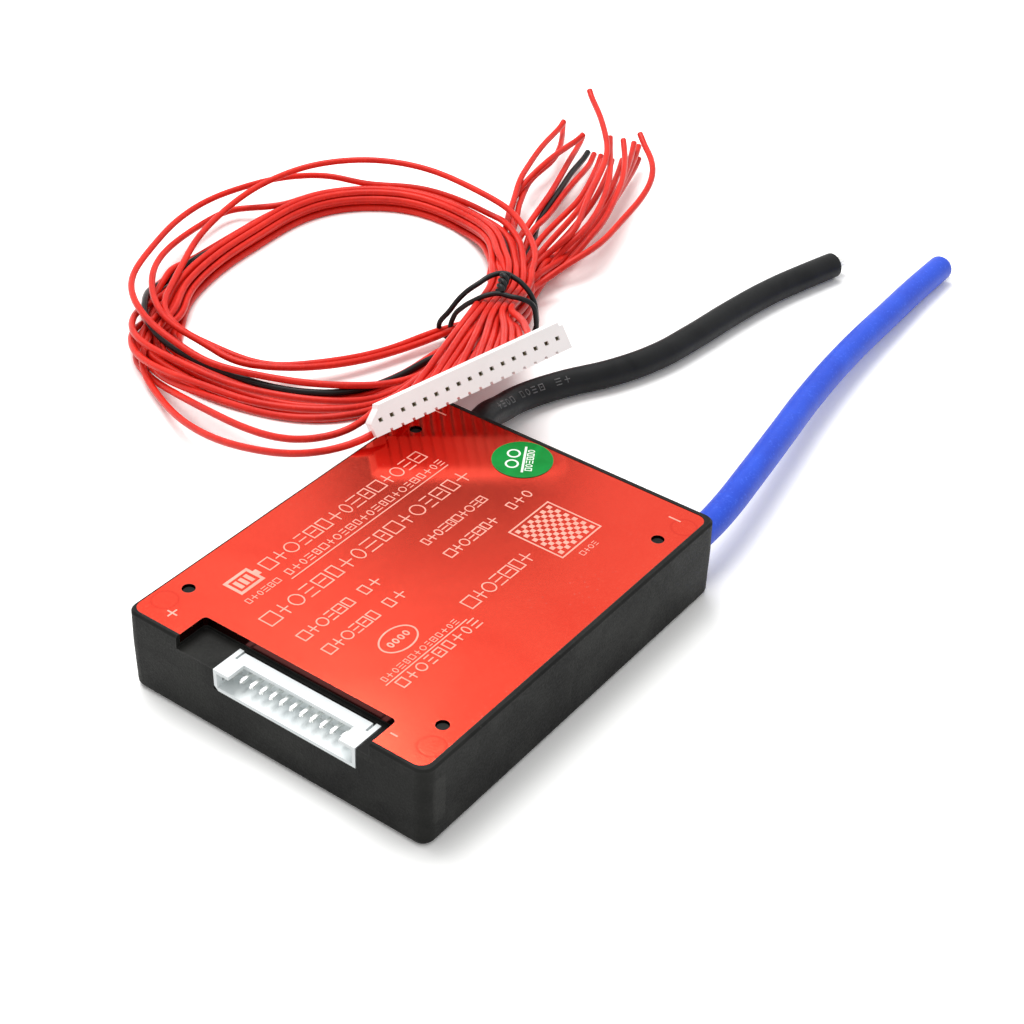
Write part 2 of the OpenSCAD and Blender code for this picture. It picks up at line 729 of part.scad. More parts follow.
module plug_housing() {
    lip = 0.7;
    color([0.95, 0.95, 0.94]) at_plug() difference() {
        translate([0, 0, -plug_depth]) linear_extrude(plug_depth) polygon([
            [-plug_l / 2, -plug_t / 2], [plug_l / 2, -plug_t / 2], [plug_l / 2, plug_t / 2 - lip],
            [plug_l / 2 - lip, plug_t / 2 - lip], [plug_l / 2 - lip, plug_t / 2],
            [-plug_l / 2 + 2.6, plug_t / 2], [-plug_l / 2 + 2.2, plug_t / 2 - lip],
            [-plug_l / 2 + 0.4, plug_t / 2 - 2.2], [-plug_l / 2, plug_t / 2 - 2.6]
        ]);
        each_plug_way(plug_ways) {
            translate([0, 0, -face_t - over]) post(eye_w, eye_w, face_t + 2 * over);
            translate([0, 0, -plug_depth - over])
                post(chamber_w, chamber_w, plug_depth + over - face_t);
        }
        // the notches between the ribs
        each_plug_way(plug_ways - 1) translate([0, -plug_t / 2, -plug_depth - over])
            post(rib_notch, 2 * rib_notch, plug_depth + 2 * over);
    }
}

module plug_contacts() {
    color([0.78, 0.7, 0.5]) at_plug() each_plug_way(plug_ways)
        translate([0, 0, -plug_depth + 1]) difference() {
            post(contact_w, contact_w, plug_depth - face_t - 1 - seat);
            translate([0, 0, over]) post(contact_w / 2, contact_w / 2, plug_depth);
        }
}

// The plug's wires draw together from its row into the flat bundle at the tie
module wire_fan() {
    color([0.85, 0.1, 0.08]) hull() {
        at_plug() translate([0, 0, -plug_depth - 0.4])
            post((plug_ways - 1) * plug_pitch + wire_d, wire_d, 0.35);
        at_tie(bundle_z) rotate([0, 90, 0]) for (s = [-1, 1])
            translate([0, s * (bundle_w - bundle_h) / 2, 0])
                cylinder(d = bundle_h, h = 0.2, $fn = 24);
    }
}

// The tie's place: the middle of the coil's near side, where the coil runs straight
tie_at = coil_at + coil_b * [sin(coil_turn), -cos(coil_turn)];
bundle_z = coil_lift + coil_h + 0.3 + bundle_h / 2;

module at_tie(z) {
    translate([tie_at[0], tie_at[1], z]) rotate([0, 0, coil_turn]) children();
}

// The coil's oval: two tight ends and two flatter sides, as four arcs that meet smoothly
coil_c = coil_a - coil_end_r;
coil_k = coil_b - coil_end_r;
coil_s = (coil_c * coil_c - coil_k * coil_k) / (2 * coil_k);
coil_side_r = coil_b + coil_s;
coil_angle = atan2(coil_s, coil_c);

module strand_section(r) {
    translate([r, coil_lift + coil_h / 2]) {
        square([coil_w - coil_h, coil_h], center = true);
        for (s = [-1, 1]) translate([s * (coil_w - coil_h) / 2, 0]) circle(d = coil_h);
    }
}

module wire_coil() {
    color([0.82, 0.09, 0.07]) translate([coil_at[0], coil_at[1], 0]) rotate([0, 0, coil_turn])
        for (s = [0, 180]) rotate([0, 0, s]) {
            translate([coil_c, 0, 0]) rotate([0, 0, -coil_angle])
                rotate_extrude(angle = 2 * coil_angle) strand_section(coil_end_r);
            translate([0, -coil_s, 0]) rotate([0, 0, coil_angle])
                rotate_extrude(angle = 180 - 2 * coil_angle) strand_section(coil_side_r);
        }
}

// Where wire i leaves the tie: layers of six, five and six
function packed(i) =
    let (layer = i < 6 ? 0 : i < 11 ? 1 : 2, n = layer == 1 ? 5 : 6, first = [0, 6, 11][layer])
    [(i - first - (n - 1) / 2) * (wire_d + 0.2), (layer - 1) * (wire_d + 0.1)];
function bundle_point(i) =
    let (q = packed(i))
    [tie_at[0] + 0.6 * cos(coil_turn) - q[0] * sin(coil_turn),
        tie_at[1] + 0.6 * sin(coil_turn) + q[0] * cos(coil_turn), bundle_z + q[1]];

module wire_tails() {
    color([0.85, 0.1, 0.08]) for (i = [0 : plug_ways - 1])
        tube(concat([bundle_point(i)], tail_points[i]), wire_d, 8);
}

// The tie: a band round the coil and the bundle, and its loose loop
module wire_tie() {
    inner_w = max(coil_w, bundle_w) + 0.8;
    inner_h = coil_h + bundle_h + 1.6;
    color([0.08, 0.08, 0.08]) {
        at_tie(coil_lift - 0.3) rotate([90, 0, 90]) translate([0, 0, -tie_w / 2])
            linear_extrude(tie_w) difference() {
                band(inner_w / 2 + tie_t, -tie_t, inner_h + tie_t, coil_h / 2 + tie_t);
                band(inner_w / 2, 0, inner_h, coil_h / 2);
            }
        tube(tie_points, tie_t, 8);
    }
}

// An upright rounded rectangle from y0 to y1
module band(hw, y0, y1, r) {
    translate([-hw, y0 + r]) square([2 * hw, y1 - y0 - 2 * r]);
    translate([-hw + r, y0]) square([2 * (hw - r), y1 - y0]);
    for (x = [-hw + r, hw - r], y = [y0 + r, y1 - r]) translate([x, y]) circle(r = r);
}

case();
heat_plate();
thermal_pads();
circuit_board();
discharge_transistors();
charge_transistors();
drain_bar();
pack_source_bar();
load_source_bar();
pack_terminal();
load_terminal();
current_shunts();
balance_resistors();
balance_transistors();
filter_capacitors();
monitor_chip();
driver_chip();
temperature_sensor();
socket_housing();
socket_pins();
pack_core();
pack_cable();
pack_solder();
load_core();
load_cable();
load_solder();
inspection_sticker();
plug_housing();
plug_contacts();
wire_fan();
wire_coil();
wire_tails();
wire_tie();
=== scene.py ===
import math

import bmesh
import bpy
import numpy as np
from mathutils import Matrix, Vector


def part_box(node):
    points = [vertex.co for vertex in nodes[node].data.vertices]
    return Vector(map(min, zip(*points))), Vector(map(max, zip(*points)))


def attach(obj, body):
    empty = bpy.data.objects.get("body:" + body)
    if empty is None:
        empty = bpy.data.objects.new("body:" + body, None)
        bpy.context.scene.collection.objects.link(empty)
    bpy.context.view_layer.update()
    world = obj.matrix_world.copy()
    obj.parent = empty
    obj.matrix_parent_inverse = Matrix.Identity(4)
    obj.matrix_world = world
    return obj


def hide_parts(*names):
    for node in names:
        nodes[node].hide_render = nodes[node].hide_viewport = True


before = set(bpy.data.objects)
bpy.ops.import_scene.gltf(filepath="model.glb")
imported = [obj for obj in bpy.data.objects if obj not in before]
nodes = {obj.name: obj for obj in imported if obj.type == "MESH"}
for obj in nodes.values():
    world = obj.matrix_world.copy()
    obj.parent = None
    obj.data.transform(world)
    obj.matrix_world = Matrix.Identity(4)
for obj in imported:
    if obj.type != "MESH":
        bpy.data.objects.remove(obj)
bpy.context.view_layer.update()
mm = 0.001   # the dictionaries below are in millimetres


# ---- camera ----
cameraSet = dict(place=(-206.46, -163.53, 222.16), down=36.652, heading=35.564, roll=1.899,
                 lens=71.28, sensor=36, nearest=0.01)


def makeCamera(c):
    down, heading, roll = (math.radians(c[k]) for k in ("down", "heading", "roll"))
    right = Vector((math.sin(heading), -math.cos(heading), 0))
    ahead = Vector((math.cos(heading) * math.cos(down), math.sin(heading) * math.cos(down), -math.sin(down)))
    up = right.cross(ahead)
    side = right * math.cos(roll) + up * math.sin(roll)
    top = up * math.cos(roll) - right * math.sin(roll)
    data = bpy.data.cameras.new("camera")
    data.lens, data.sensor_width, data.clip_start = c["lens"], c["sensor"], c["nearest"]
    camera = bpy.data.objects.new("camera", data)
    bpy.context.scene.collection.objects.link(camera)
    turn = Matrix((side, top, -ahead)).transposed().to_4x4()
    camera.matrix_world = Matrix.Translation(Vector(c["place"]) * mm) @ turn
    bpy.context.scene.camera = camera


makeCamera(cameraSet)


# ---- making pieces ----
def addPiece(name, data, material):
    piece = bpy.data.objects.new(name, data)
    bpy.context.scene.collection.objects.link(piece)
    data.materials.append(material)
    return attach(piece, "root")


def addSpline(curve, points, radii=None, closed=False):   # smooth through points given in millimetres
    spline = curve.splines.new("BEZIER")
    spline.bezier_points.add(len(points) - 1)
    for k, (knot, point) in enumerate(zip(spline.bezier_points, points)):
        knot.co = Vector(point) * mm
        knot.handle_left_type = knot.handle_right_type = "AUTO"
        knot.radius = radii[k] if radii else 1
    spline.use_cyclic_u = closed


def newTube(name, diameter, sides=12, steps=4):
    curve = bpy.data.curves.new(name, "CURVE")
    curve.dimensions = "3D"
    curve.bevel_depth = diameter / 2 * mm
    curve.bevel_resolution = (sides - 4) // 2
    curve.resolution_u = steps
    curve.use_fill_caps = True
    curve.twist_mode = "MINIMUM"
    return curve


def spoke(way, angle):   # a direction square to another one, turned round it
    side = way.cross(Vector((0, 0, 1))).normalized()
    return side * math.cos(angle) + side.cross(way) * math.sin(angle)


def runLength(points):   # the length of a line of points, in metres
    return float(np.linalg.norm(np.diff(np.array(points, float), axis=0), axis=1).sum()) * mm


# ---- wire routes ----
harness = dict(
    diameter=1.4, pitch=2.2, ways=17, step=2.0,   # the wires, and the spacing of the points along them
    plugAt=(35.2, 19.4, 25.9), plugTurn=(56.5, -14.7, -29.0),
    tieAt=(90.7, 51.1), tieHeading=33.0,
    upperZ=(7.3, 8.7, 10.1), lowerZ=(2.1, 3.5, 4.9),   # the layers inside the tie
    laneWidth=1.5, layerHeight=1.28,
    plugExit=((1, 5.5), (1, 8), (0.95, 13)),   # how much of the pitch is kept, how far out of the plug
    tieHalf=3, before=12.5, pinch=0.85, aside=2.6, rise=1.2, arch=0.6,   # in the tie, and on the way to it
)
# How the wires come to rest; those in the plug's openings and in the tie's grip stay where they are, and
# the room of the case is kept clear
rest = dict(touch=1.43, least=0.05, rounds=170, renew=12, stiffness=0.55, hold=0.02, settle=0.01, lift=0.02,
            chunk=600, reach=5, skip=12,
            plugBox=(20, 3, 8.2), tieBox=(2.6, 5.2, 11), case=(40.75, 31.5, 16.4))

# The coil's inner edge, from the tie round to the far side
innerEdge = [
    (88.6, 54.4, 7), (95.5, 59.4, 6), (102, 64.6, 5), (108, 71.5, 3.4), (112.3, 79.5, 1.6),
    (114.2, 88, 0.8), (113.2, 97, 0.75), (108, 105.3, 0.75), (101, 110.6, 0.75), (92, 112.8, 0.75),
    (81.5, 112.4, 0.75), (70, 111.6, 0.75), (61, 109.8, 0.75), (51, 106.2, 0.75), (44.7, 101.5, 0.75),
]
edgeSpread = [1] * 10 + [1.1, 1.2, 1.35, 1.5, 1.5]   # how loosely the lanes lie there
# The strip on the floor below the coil's near side
floorStrip = [
    (36, 100, 0.75), (33.8, 91.5, 0.75), (33, 82, 0.75), (34, 72, 0.75), (37.5, 61.5, 0.75),
    (43.5, 55, 0.75), (52, 52, 0.85), (63, 50, 1.5), (76, 48.5, 2.3),
]
stripSpread = [1.5, 1.4, 1.4, 1.3, 1.2, 1.1, 1, 1, 1]

# Each wire from left to right in the plug: its place in the tie on the way out (across, layer), its lane and
# layer on the inner edge and how far it follows that, then either its own turn round the coil or its lane
# and layer on the floor strip, its place in the tie on the way back, and its loose end
wires = {
    "wire01": dict(out=(0, 1), edge=(2, 2, 11), back=(0, 1), droop=6,   # the black one
        turn=[(53.8, 115.9, 2), (47.9, 113.4, 3), (42.1, 109.5, 4), (36.8, 102.5, 4.5), (33.1, 92.3, 5),
         (32.8, 86.8, 5), (33.8, 77.4, 4.5), (35.8, 69.4, 4), (39.1, 61.9, 4), (44.5, 56.6, 3.5),
         (52.4, 53, 3), (63.2, 50.7, 3)],
        tail=[(120.8, 66.5, 4), (132, 70.7, 3.8), (141.8, 74.1, 3.5), (150.8, 77.3, 3.2),
         (159.7, 79.5, 3)]),
    "wire02": dict(out=(4, 0), edge=(0, 0, 14), strip=(-1.5, 0), back=(2.4, 0), droop=3,
        tail=[(117.3, 65, 4), (128.9, 68.5, 3.9), (141.1, 72, 3.8), (153.5, 75.2, 3.6),
         (158.9, 77.2, 3.5)]),
    "wire03": dict(out=(3.2, 1), edge=(1, 0, 14), strip=(-1.5, 1), back=(4, 0), droop=2,
        tail=[(126.3, 75.6, 5), (133.7, 79.1, 4.8), (142.1, 81.2, 4.6), (149.2, 82.3, 4.4),
         (159.2, 87, 4.2), (167.2, 92.2, 4)]),
    "wire04": dict(out=(4, 2), edge=(0, 2, 14), strip=(2, 0), back=(-4, 0),
        tail=[(108.3, 53.8, 3), (120.1, 55.3, 3), (134.5, 58.6, 3), (145.3, 61.6, 3), (154.6, 64.7, 3),
         (164.6, 68.2, 3)]),
    "wire05": dict(out=(2.4, 0), edge=(0.5, 1, 14), strip=(0, 0), back=(-0.8, 0),
        tail=[(110.2, 56.9, 4), (118.7, 58.4, 4), (131.6, 61.5, 4), (142.9, 65, 4), (158.2, 71.6, 4)]),
    "wire06": dict(out=(2.4, 2), edge=(1, 2, 14), strip=(1, 0), back=(-2.4, 0),
        tail=[(108.5, 54.8, 4), (118.7, 56.3, 4.2), (129.6, 58, 4.5), (140.1, 60.9, 4.8),
         (158.1, 68.7, 5)]),
    "wire07": dict(out=(1.6, 1), edge=(0.5, 3, 14), strip=(0.5, 1), back=(-1.6, 1),
        tail=[(110.4, 52.5, 5.5), (114, 50, 8.5), (120.7, 50.3, 9), (132.9, 54.3, 9.5), (143.5, 58.9, 10),
         (153.4, 65.2, 10.5), (156.6, 67.8, 11)]),
    "wire08": dict(out=(0.8, 0), edge=(1.5, 1, 14), strip=(-0.5, 1), back=(0.8, 0),
        tail=[(110.6, 57.7, 5.5), (119, 58.7, 6.8), (129.3, 60.7, 7.5), (137.6, 63.3, 8.2),
         (148.5, 67.8, 9)]),
    "wire09": dict(out=(0.8, 2), edge=(1.5, 3, 14), strip=(1.5, 1), back=(-3.2, 1),
        tail=[(108.1, 54, 5), (118.3, 54.1, 5.2), (132, 57, 5.4), (144.1, 60.4, 5.6), (154.5, 64.2, 5.8),
         (164.9, 68.7, 6)]),
    "wire10": dict(out=(-0.8, 0), edge=(2, 0, 13), back=(-0.8, 2),
        turn=[(43, 108, 0.8), (33.1, 103, 1.5), (28, 93.7, 3), (25, 88, 4.2), (23.2, 78.3, 6),
         (22.3, 66.9, 8), (22.6, 57.1, 9.5), (25.1, 49.4, 10.5), (30.5, 44.4, 10.5),
         (36.2, 42, 10)],
        tail=[(110.5, 53.7, 5.5), (112, 50.7, 9.6), (119.8, 52, 10.2), (129.2, 54.9, 10.8),
         (139.2, 59.8, 11.4), (154, 69.8, 12)]),
    "wire11": dict(out=(-0.8, 2), edge=(3, 2, 9), back=(4, 2),
        turn=[(87.2, 125, 3), (79.8, 125.4, 3.5), (63.5, 122, 5), (53.7, 117.4, 6), (47.2, 112.1, 6.5),
         (41.7, 105.4, 6.5), (38.6, 98.7, 6), (37.7, 87.1, 5.5), (37.1, 79.1, 5), (40.6, 73.7, 4.5),
         (45.9, 67.9, 4), (52.5, 63.4, 3.5), (60.6, 60, 3), (74.1, 55.8, 3)],
        tail=[(122.7, 74.5, 5.5), (129.7, 78.1, 7), (141.9, 83.2, 7), (151.7, 86.3, 7),
         (162.5, 88.8, 7)]),
    "wire12": dict(out=(-1.6, 1), edge=(2.5, 1, 13), back=(2.4, 2),
        turn=[(48, 112, 2), (40.7, 109.3, 4), (33.6, 104.5, 5.5), (29.7, 98.6, 6.5), (27.9, 91.8, 7.2),
         (27.5, 84.7, 7.5), (27.8, 72.3, 7.5), (30.1, 64, 7.5), (33.3, 56.7, 7.5), (38, 51, 7),
         (45.6, 47.3, 6)],
        tail=[(131.4, 78.5, 5.5), (137.9, 78.3, 8), (146.1, 79.4, 8), (152.2, 80.1, 8), (158, 80, 8)]),
    "wire13": dict(out=(-2.4, 0), edge=(3, 0, 13), back=(-2.4, 2),
        turn=[(40, 105.5, 0.8), (31.2, 101, 0.8), (25.7, 91.8, 2), (22.6, 81.7, 4), (19, 69, 7),
         (16.1, 55.9, 10), (15.8, 45.5, 12.5), (18.6, 38.8, 14.5), (25.2, 36.1, 15), (36, 38, 14)],
        tail=[(107.9, 52.8, 5.5), (117.1, 52, 7.2), (130.4, 55.2, 7.4), (143.5, 59.6, 7.6),
         (152.2, 63.3, 7.8), (162.1, 68.3, 8)]),
    "wire14": dict(out=(-2.4, 2), edge=(4.2, 2.4, 7), back=(1.6, 1),
        turn=[(110.3, 116.8, 4.5), (105.6, 120.9, 5), (99.9, 124.4, 5.5), (92.6, 126.3, 6),
         (83.6, 128.5, 6), (70.9, 127, 6.5), (57.2, 121.9, 7), (45.6, 115.9, 7.5), (39, 109.2, 8),
         (33.6, 98.4, 8), (32.3, 90.5, 7.5), (31.4, 81.1, 7), (34.7, 73.2, 6), (39.8, 62.5, 5.5),
         (44.6, 56.6, 5), (53.2, 48.8, 5)],
        tail=[(112.5, 60.5, 5.5), (123, 62.4, 6), (135.3, 64.8, 6), (144.3, 68.1, 6), (155, 72.7, 6)]),
    "wire15": dict(out=(-3.2, 1), edge=(3.5, 1, 13), back=(0.8, 2),
        turn=[(46, 110, 1), (37.5, 107.1, 2.5), (30.4, 101.5, 4), (26.7, 95.7, 5), (25, 90, 6),
         (23.8, 84.2, 7), (24, 73.6, 8), (24.7, 63.9, 8.5), (29.1, 52.9, 9), (33.9, 47.4, 9),
         (41.9, 44.3, 8)],
        tail=[(110.3, 54.6, 5.5), (111.6, 51.4, 10.1), (128.1, 57.9, 11.3), (138.5, 61.8, 12.4),
         (145.7, 64.8, 13.6), (150.5, 69, 14.7), (156.7, 74.9, 15.9), (162.7, 82, 17)]),
    "wire16": dict(out=(-4, 0), edge=(4, 0, 13), back=(-4, 2),
        turn=[(37, 103, 2.5), (28, 96, 2.6), (20.9, 84, 2.6), (15.3, 70.8, 5), (12, 57.2, 8.5),
         (11.7, 42.2, 13), (13.7, 34.5, 16), (19.3, 30.2, 17.2), (27, 29.5, 17.4), (38, 33, 15.5)],
        tail=[(102.6, 49.8, 5.5), (105.6, 47, 8.9), (113.3, 45.6, 9.7), (126.1, 47.2, 10.6),
         (137.5, 49.3, 11.4), (145.8, 52.5, 12.3), (151.4, 57.1, 13.1), (156.5, 63.3, 14)]),
    "wire17": dict(out=(-4, 2), edge=(5, 2, 0), back=(3.2, 1),
        turn=[(98.4, 50.6, 10), (104.5, 55.3, 10), (111.7, 63.3, 9), (116.1, 70.1, 9), (119.4, 85.2, 9),
         (120, 95.2, 9), (118.3, 103.4, 9), (114.5, 110.4, 9), (108.9, 115.5, 9),
         (103.9, 119.3, 8.5), (96.9, 121.5, 8), (89.2, 122.5, 7.5), (75.5, 120.8, 6.5),
         (65.4, 117.5, 6), (48.1, 107.9, 5), (41.8, 103.7, 4.5), (39.8, 98, 4.5), (39.3, 87, 4.5),
         (40, 78, 4.3), (42.5, 72.5, 4), (47, 68.6, 4), (54, 64.2, 3.5), (62, 60.8, 3),
         (74.1, 57.6, 3)],
        tail=[(120, 67.8, 5), (131.4, 71.4, 4.8), (143.2, 76, 4.5), (154.8, 80.6, 4.2),
         (164.1, 84.2, 4)]),
}


def smoothPath(points, step):   # an even walk along a smooth curve through some points
    p = np.array(points, float)
    p = np.vstack([2 * p[0] - p[1], p, 2 * p[-1] - p[-2]])
    fine = []
    for a, b, c, d in zip(p, p[1:], p[2:], p[3:]):
        t0, t1, t2 = (np.linalg.norm(v) ** 0.5 for v in (b - a, c - b, d - c))
        m1 = ((b - a) / t0 - (c - a) / (t0 + t1) + (c - b) / t1) * t1
        m2 = ((c - b) / t1 - (d - b) / (t1 + t2) + (d - c) / t2) * t1
        for t in np.linspace(0, 1, max(2, int(np.linalg.norm(c - b) * 2)), endpoint=False):
            fine.append((2 * t**3 - 3 * t * t + 1) * b + (t**3 - 2 * t * t + t) * m1
                        + (3 * t * t - 2 * t**3) * c + (t**3 - t * t) * m2)
    fine = np.array(fine + [p[-2]])
    run = np.r_[0, np.cumsum(np.linalg.norm(np.diff(fine, axis=0), axis=1))]
    at = np.linspace(0, run[-1], int(round(run[-1] / step)) + 1)
    return np.column_stack([np.interp(at, run, fine[:, k]) for k in range(3)])


def turnMatrix(turn):
    (cx, cy, cz), (sx, sy, sz) = np.cos(np.radians(turn)), np.sin(np.radians(turn))
    return (np.array([[cz, -sz, 0], [sz, cz, 0], [0, 0, 1]])
            @ np.array([[cy, 0, sy], [0, 1, 0], [-sy, 0, cy]])
            @ np.array([[1, 0, 0], [0, cx, -sx], [0, sx, cx]]))


plugAt, plugAxes = np.array(harness["plugAt"]), turnMatrix(harness["plugTurn"])
heading = math.radians(harness["tieHeading"])
tieAt = np.array(harness["tieAt"])
tieAlong = np.array([math.cos(heading), math.sin(heading)])
tieAcross = np.array([-math.sin(heading), math.cos(heading)])


def inTie(across, z, along):   # a place measured from the middle of the tie
    return (*(tieAt + tieAcross * across + tieAlong * along), z)


def beside(line, spread, k, lane, layer):   # a point of a line, moved out by lanes and up by layers
    line = np.array(line)
    way = (line[min(k + 1, len(line) - 1)] - line[max(k - 1, 0)])[:2]
    out = np.array([way[1], -way[0]]) / np.linalg.norm(way)
    return (*(line[k, :2] + out * harness["laneWidth"] * lane * spread[k]),
            line[k, 2] + harness["layerHeight"] * layer)


def wireRoute(n, w):   # plug, tie, round the coil, tie again and the loose end
    x = (n - (harness["ways"] - 1) / 2) * harness["pitch"]
    h, half = harness, harness["tieHalf"]
    route = [plugAt + plugAxes @ np.array((x * kept, 0, -out)) for kept, out in h["plugExit"]]
    across, layer = w["out"]
    z = harness["upperZ"][layer]
    droop = w.get("droop", 0)   # how low a wire hangs below the others on its way
    near = np.array(inTie(across * h["pinch"] + h["aside"], z + h["rise"] - droop * 0.5, -h["before"]))
    far = route[-1]
    route += [far * 0.5 + near * 0.5 + np.array([0, 0, h["arch"] - droop]), near]
    route += [inTie(across, z, -half), inTie(across, z, half)]
    lane, layer, last = w["edge"]
    route += [beside(innerEdge, edgeSpread, k, lane, layer) for k in range(1, last + 1)]
    route += w.get("turn") or [beside(floorStrip, stripSpread, k, *w["strip"])
                               for k in range(len(floorStrip))]
    across, layer = w["back"]
    z = harness["lowerZ"][layer]
    return route + [inTie(across, z, -half), inTie(across, z, half)] + w["tail"]


def closestShares(a0, a1, b0, b1):   # how far along two straight pieces their closest points lie
    u, v, w = a1 - a0, b1 - b0, a0 - b0
    a, b, c, d, e = (np.einsum("ij,ij->i", *q) for q in ((u, u), (u, v), (v, v), (u, w), (v, w)))
    s = np.clip((b * e - c * d) / np.maximum(a * c - b * b, 1e-9), 0, 1)
    t = np.clip((b * s + e) / c, 0, 1)
    return np.clip((b * t - d) / a, 0, 1), t


def nearPieces(p, first, owner):   # pairs of straight pieces that may touch
    mid = (p[first] + p[first + 1]) / 2
    pairs = []
    for k in range(0, len(mid), rest["chunk"]):
        i, j = np.nonzero(((mid[k:k + rest["chunk"], None] - mid[None]) ** 2).sum(2) < rest["reach"] ** 2)
        i += k
        keep = (j > i) & ((owner[i] != owner[j]) | (j - i > rest["skip"]))
        pairs.append((i[keep], j[keep]))
    return [np.concatenate(q) for q in zip(*pairs)]


def settleWires(paths):   # wires that cross are pushed apart, and all sink until they rest on something
    h = rest
    start = np.r_[0, np.cumsum([len(q) for q in paths])]
    p = np.vstack(paths)
    home = p.copy()
    first = np.concatenate([np.arange(a, b - 1) for a, b in zip(start, start[1:])])
    owner = np.repeat(np.arange(len(paths)), [len(q) - 1 for q in paths])
    inPlug = (p - plugAt) @ plugAxes
    flat = p[:, :2] - tieAt
    wide, thick, deep = h["plugBox"]
    held = (inPlug[:, 2] > -deep) & (abs(inPlug[:, 0]) < wide) & (abs(inPlug[:, 1]) < thick)
    along, across, high = h["tieBox"]
    held |= (abs(flat @ tieAlong) < along) & (abs(flat @ tieAcross) < across) & (p[:, 2] < high)
    held[start[1:] - 1] = True
    lowest = harness["diameter"] / 2 + h["lift"]
    x, y, z = h["case"]
    for turn in range(h["rounds"]):
        if turn % h["renew"] == 0:
            i, j = nearPieces(p, first, owner)
            a, b = first[i], first[j]
        s, t = closestShares(p[a], p[a + 1], p[b], p[b + 1])
        gap = p[a] + (p[a + 1] - p[a]) * s[:, None] - p[b] - (p[b + 1] - p[b]) * t[:, None]
        far = np.linalg.norm(gap, axis=1)
        m = far < h["touch"]
        push = ((h["touch"] - far[m]) / 2 / np.maximum(far[m], h["least"]))[:, None] * gap[m]
        move, count = np.zeros_like(p), np.zeros(len(p))
        for at, share, sign in ((a, 1 - s, 1), (a + 1, s, 1), (b, 1 - t, -1), (b + 1, t, -1)):
            np.add.at(move, at[m], sign * push * share[m, None])
            np.add.at(count, at[m], share[m])
        q = p + move / np.maximum(count, 1)[:, None]
        for c, d in zip(start, start[1:]):   # the wires resist bending
            w = q[c:d]
            w[2:-2] += h["stiffness"] * ((-w[:-4] + 4 * w[1:-3] + 4 * w[3:-1] - w[4:]) / 6 - w[2:-2])
        q += (home - q) * h["hold"]
        q[:, 2] = np.maximum(q[:, 2] - h["settle"], lowest)
        inCase = (abs(q[:, 0]) < x) & (abs(q[:, 1]) < y) & (q[:, 2] < z)
        over = inCase & (z - q[:, 2] < y - q[:, 1])
        q[over, 2] = z
        q[inCase & ~over, 1] = y
        q[held] = home[held]
        p = q
    return [p[c:d] for c, d in zip(start, start[1:])]


# ---- shared effects ----
def newGroup(name, inputs, outputs):
    group = bpy.data.node_groups.new(name, "ShaderNodeTree")
    for label, value in inputs.items():
        socket = group.interface.new_socket(label, in_out="INPUT", socket_type="NodeSocketFloat")
        socket.default_value = value
    for label in outputs:
        group.interface.new_socket(label, in_out="OUTPUT", socket_type="NodeSocketFloat")
    return group, group.nodes.new("NodeGroupInput"), group.nodes.new("NodeGroupOutput")


def addNode(tree, kind, links=None, **values):
    node = tree.nodes.new("ShaderNode" + kind)
    for key, value in values.items():
        if hasattr(node, key):
            setattr(node, key, value)
        else:
            node.inputs[key.replace("_", " ")].default_value = value
    for key, source in (links or {}).items():
        tree.links.new(source, node.inputs[key])
    return node


def mapped(tree, source, low, high, toLow=0.0, toHigh=1.0):
    return addNode(tree, "MapRange", {"Value": source}, From_Min=low, From_Max=high, To_Min=toLow,
                   To_Max=toHigh).outputs["Result"]


def math2(tree, operation, first, second):
    node = tree.nodes.new("ShaderNodeMath")
    node.operation = operation
    for k, value in enumerate((first, second)):
        if isinstance(value, (int, float)):
            node.inputs[k].default_value = value
        else:
            tree.links.new(value, node.inputs[k])
    return node.outputs[0]


def times(tree, first, second):
    return math2(tree, "MULTIPLY", first, second)


def makeGrain():   # fine grain with a slow drift of tone under it
    group, given, out = newGroup("surfaceGrain", {"Grain Scale": 3000, "Drift Scale": 60, "Warp": 1},
                                 ["Grain", "Drift"])
    place = addNode(group, "TexCoord").outputs["Object"]
    grain = addNode(group, "TexNoise", {"Vector": place, "Scale": given.outputs["Grain Scale"]},
                    Detail=3.0, Roughness=0.6)
    drift = addNode(group, "TexNoise", {"Vector": place, "Scale": given.outputs["Drift Scale"],
                                        "Distortion": given.outputs["Warp"]}, Detail=4.0, Roughness=0.55)
    group.links.new(mapped(group, grain.outputs["Fac"], 0.3, 0.7), out.inputs["Grain"])
    group.links.new(mapped(group, drift.outputs["Fac"], 0.35, 0.65), out.inputs["Drift"])
    return group


def makeScuffs():   # cloudy rub marks and a few fine scratches
    group, given, out = newGroup("scuffs", {"Cloud Scale": 90, "Scratch Scale": 700, "Amount": 0.5},
                                 ["Clouds", "Scratches"])
    place = addNode(group, "TexCoord").outputs["Object"]
    cloud = addNode(group, "TexNoise", {"Vector": place, "Scale": given.outputs["Cloud Scale"]},
                    Detail=5.0, Roughness=0.62, Distortion=0.6)
    lean = addNode(group, "Mapping", {"Vector": place}, Rotation=(0.3, 0.5, 0.7), Scale=(1, 0.06, 1))
    scratch = addNode(group, "TexNoise", {"Vector": lean.outputs["Vector"],
                                          "Scale": given.outputs["Scratch Scale"]}, Detail=2.0)
    clouds = mapped(group, cloud.outputs["Fac"], 0.45, 0.72)
    lines = mapped(group, scratch.outputs["Fac"], 0.66, 0.74)
    group.links.new(times(group, clouds, given.outputs["Amount"]), out.inputs["Clouds"])
    group.links.new(times(group, lines, given.outputs["Amount"]), out.inputs["Scratches"])
    return group


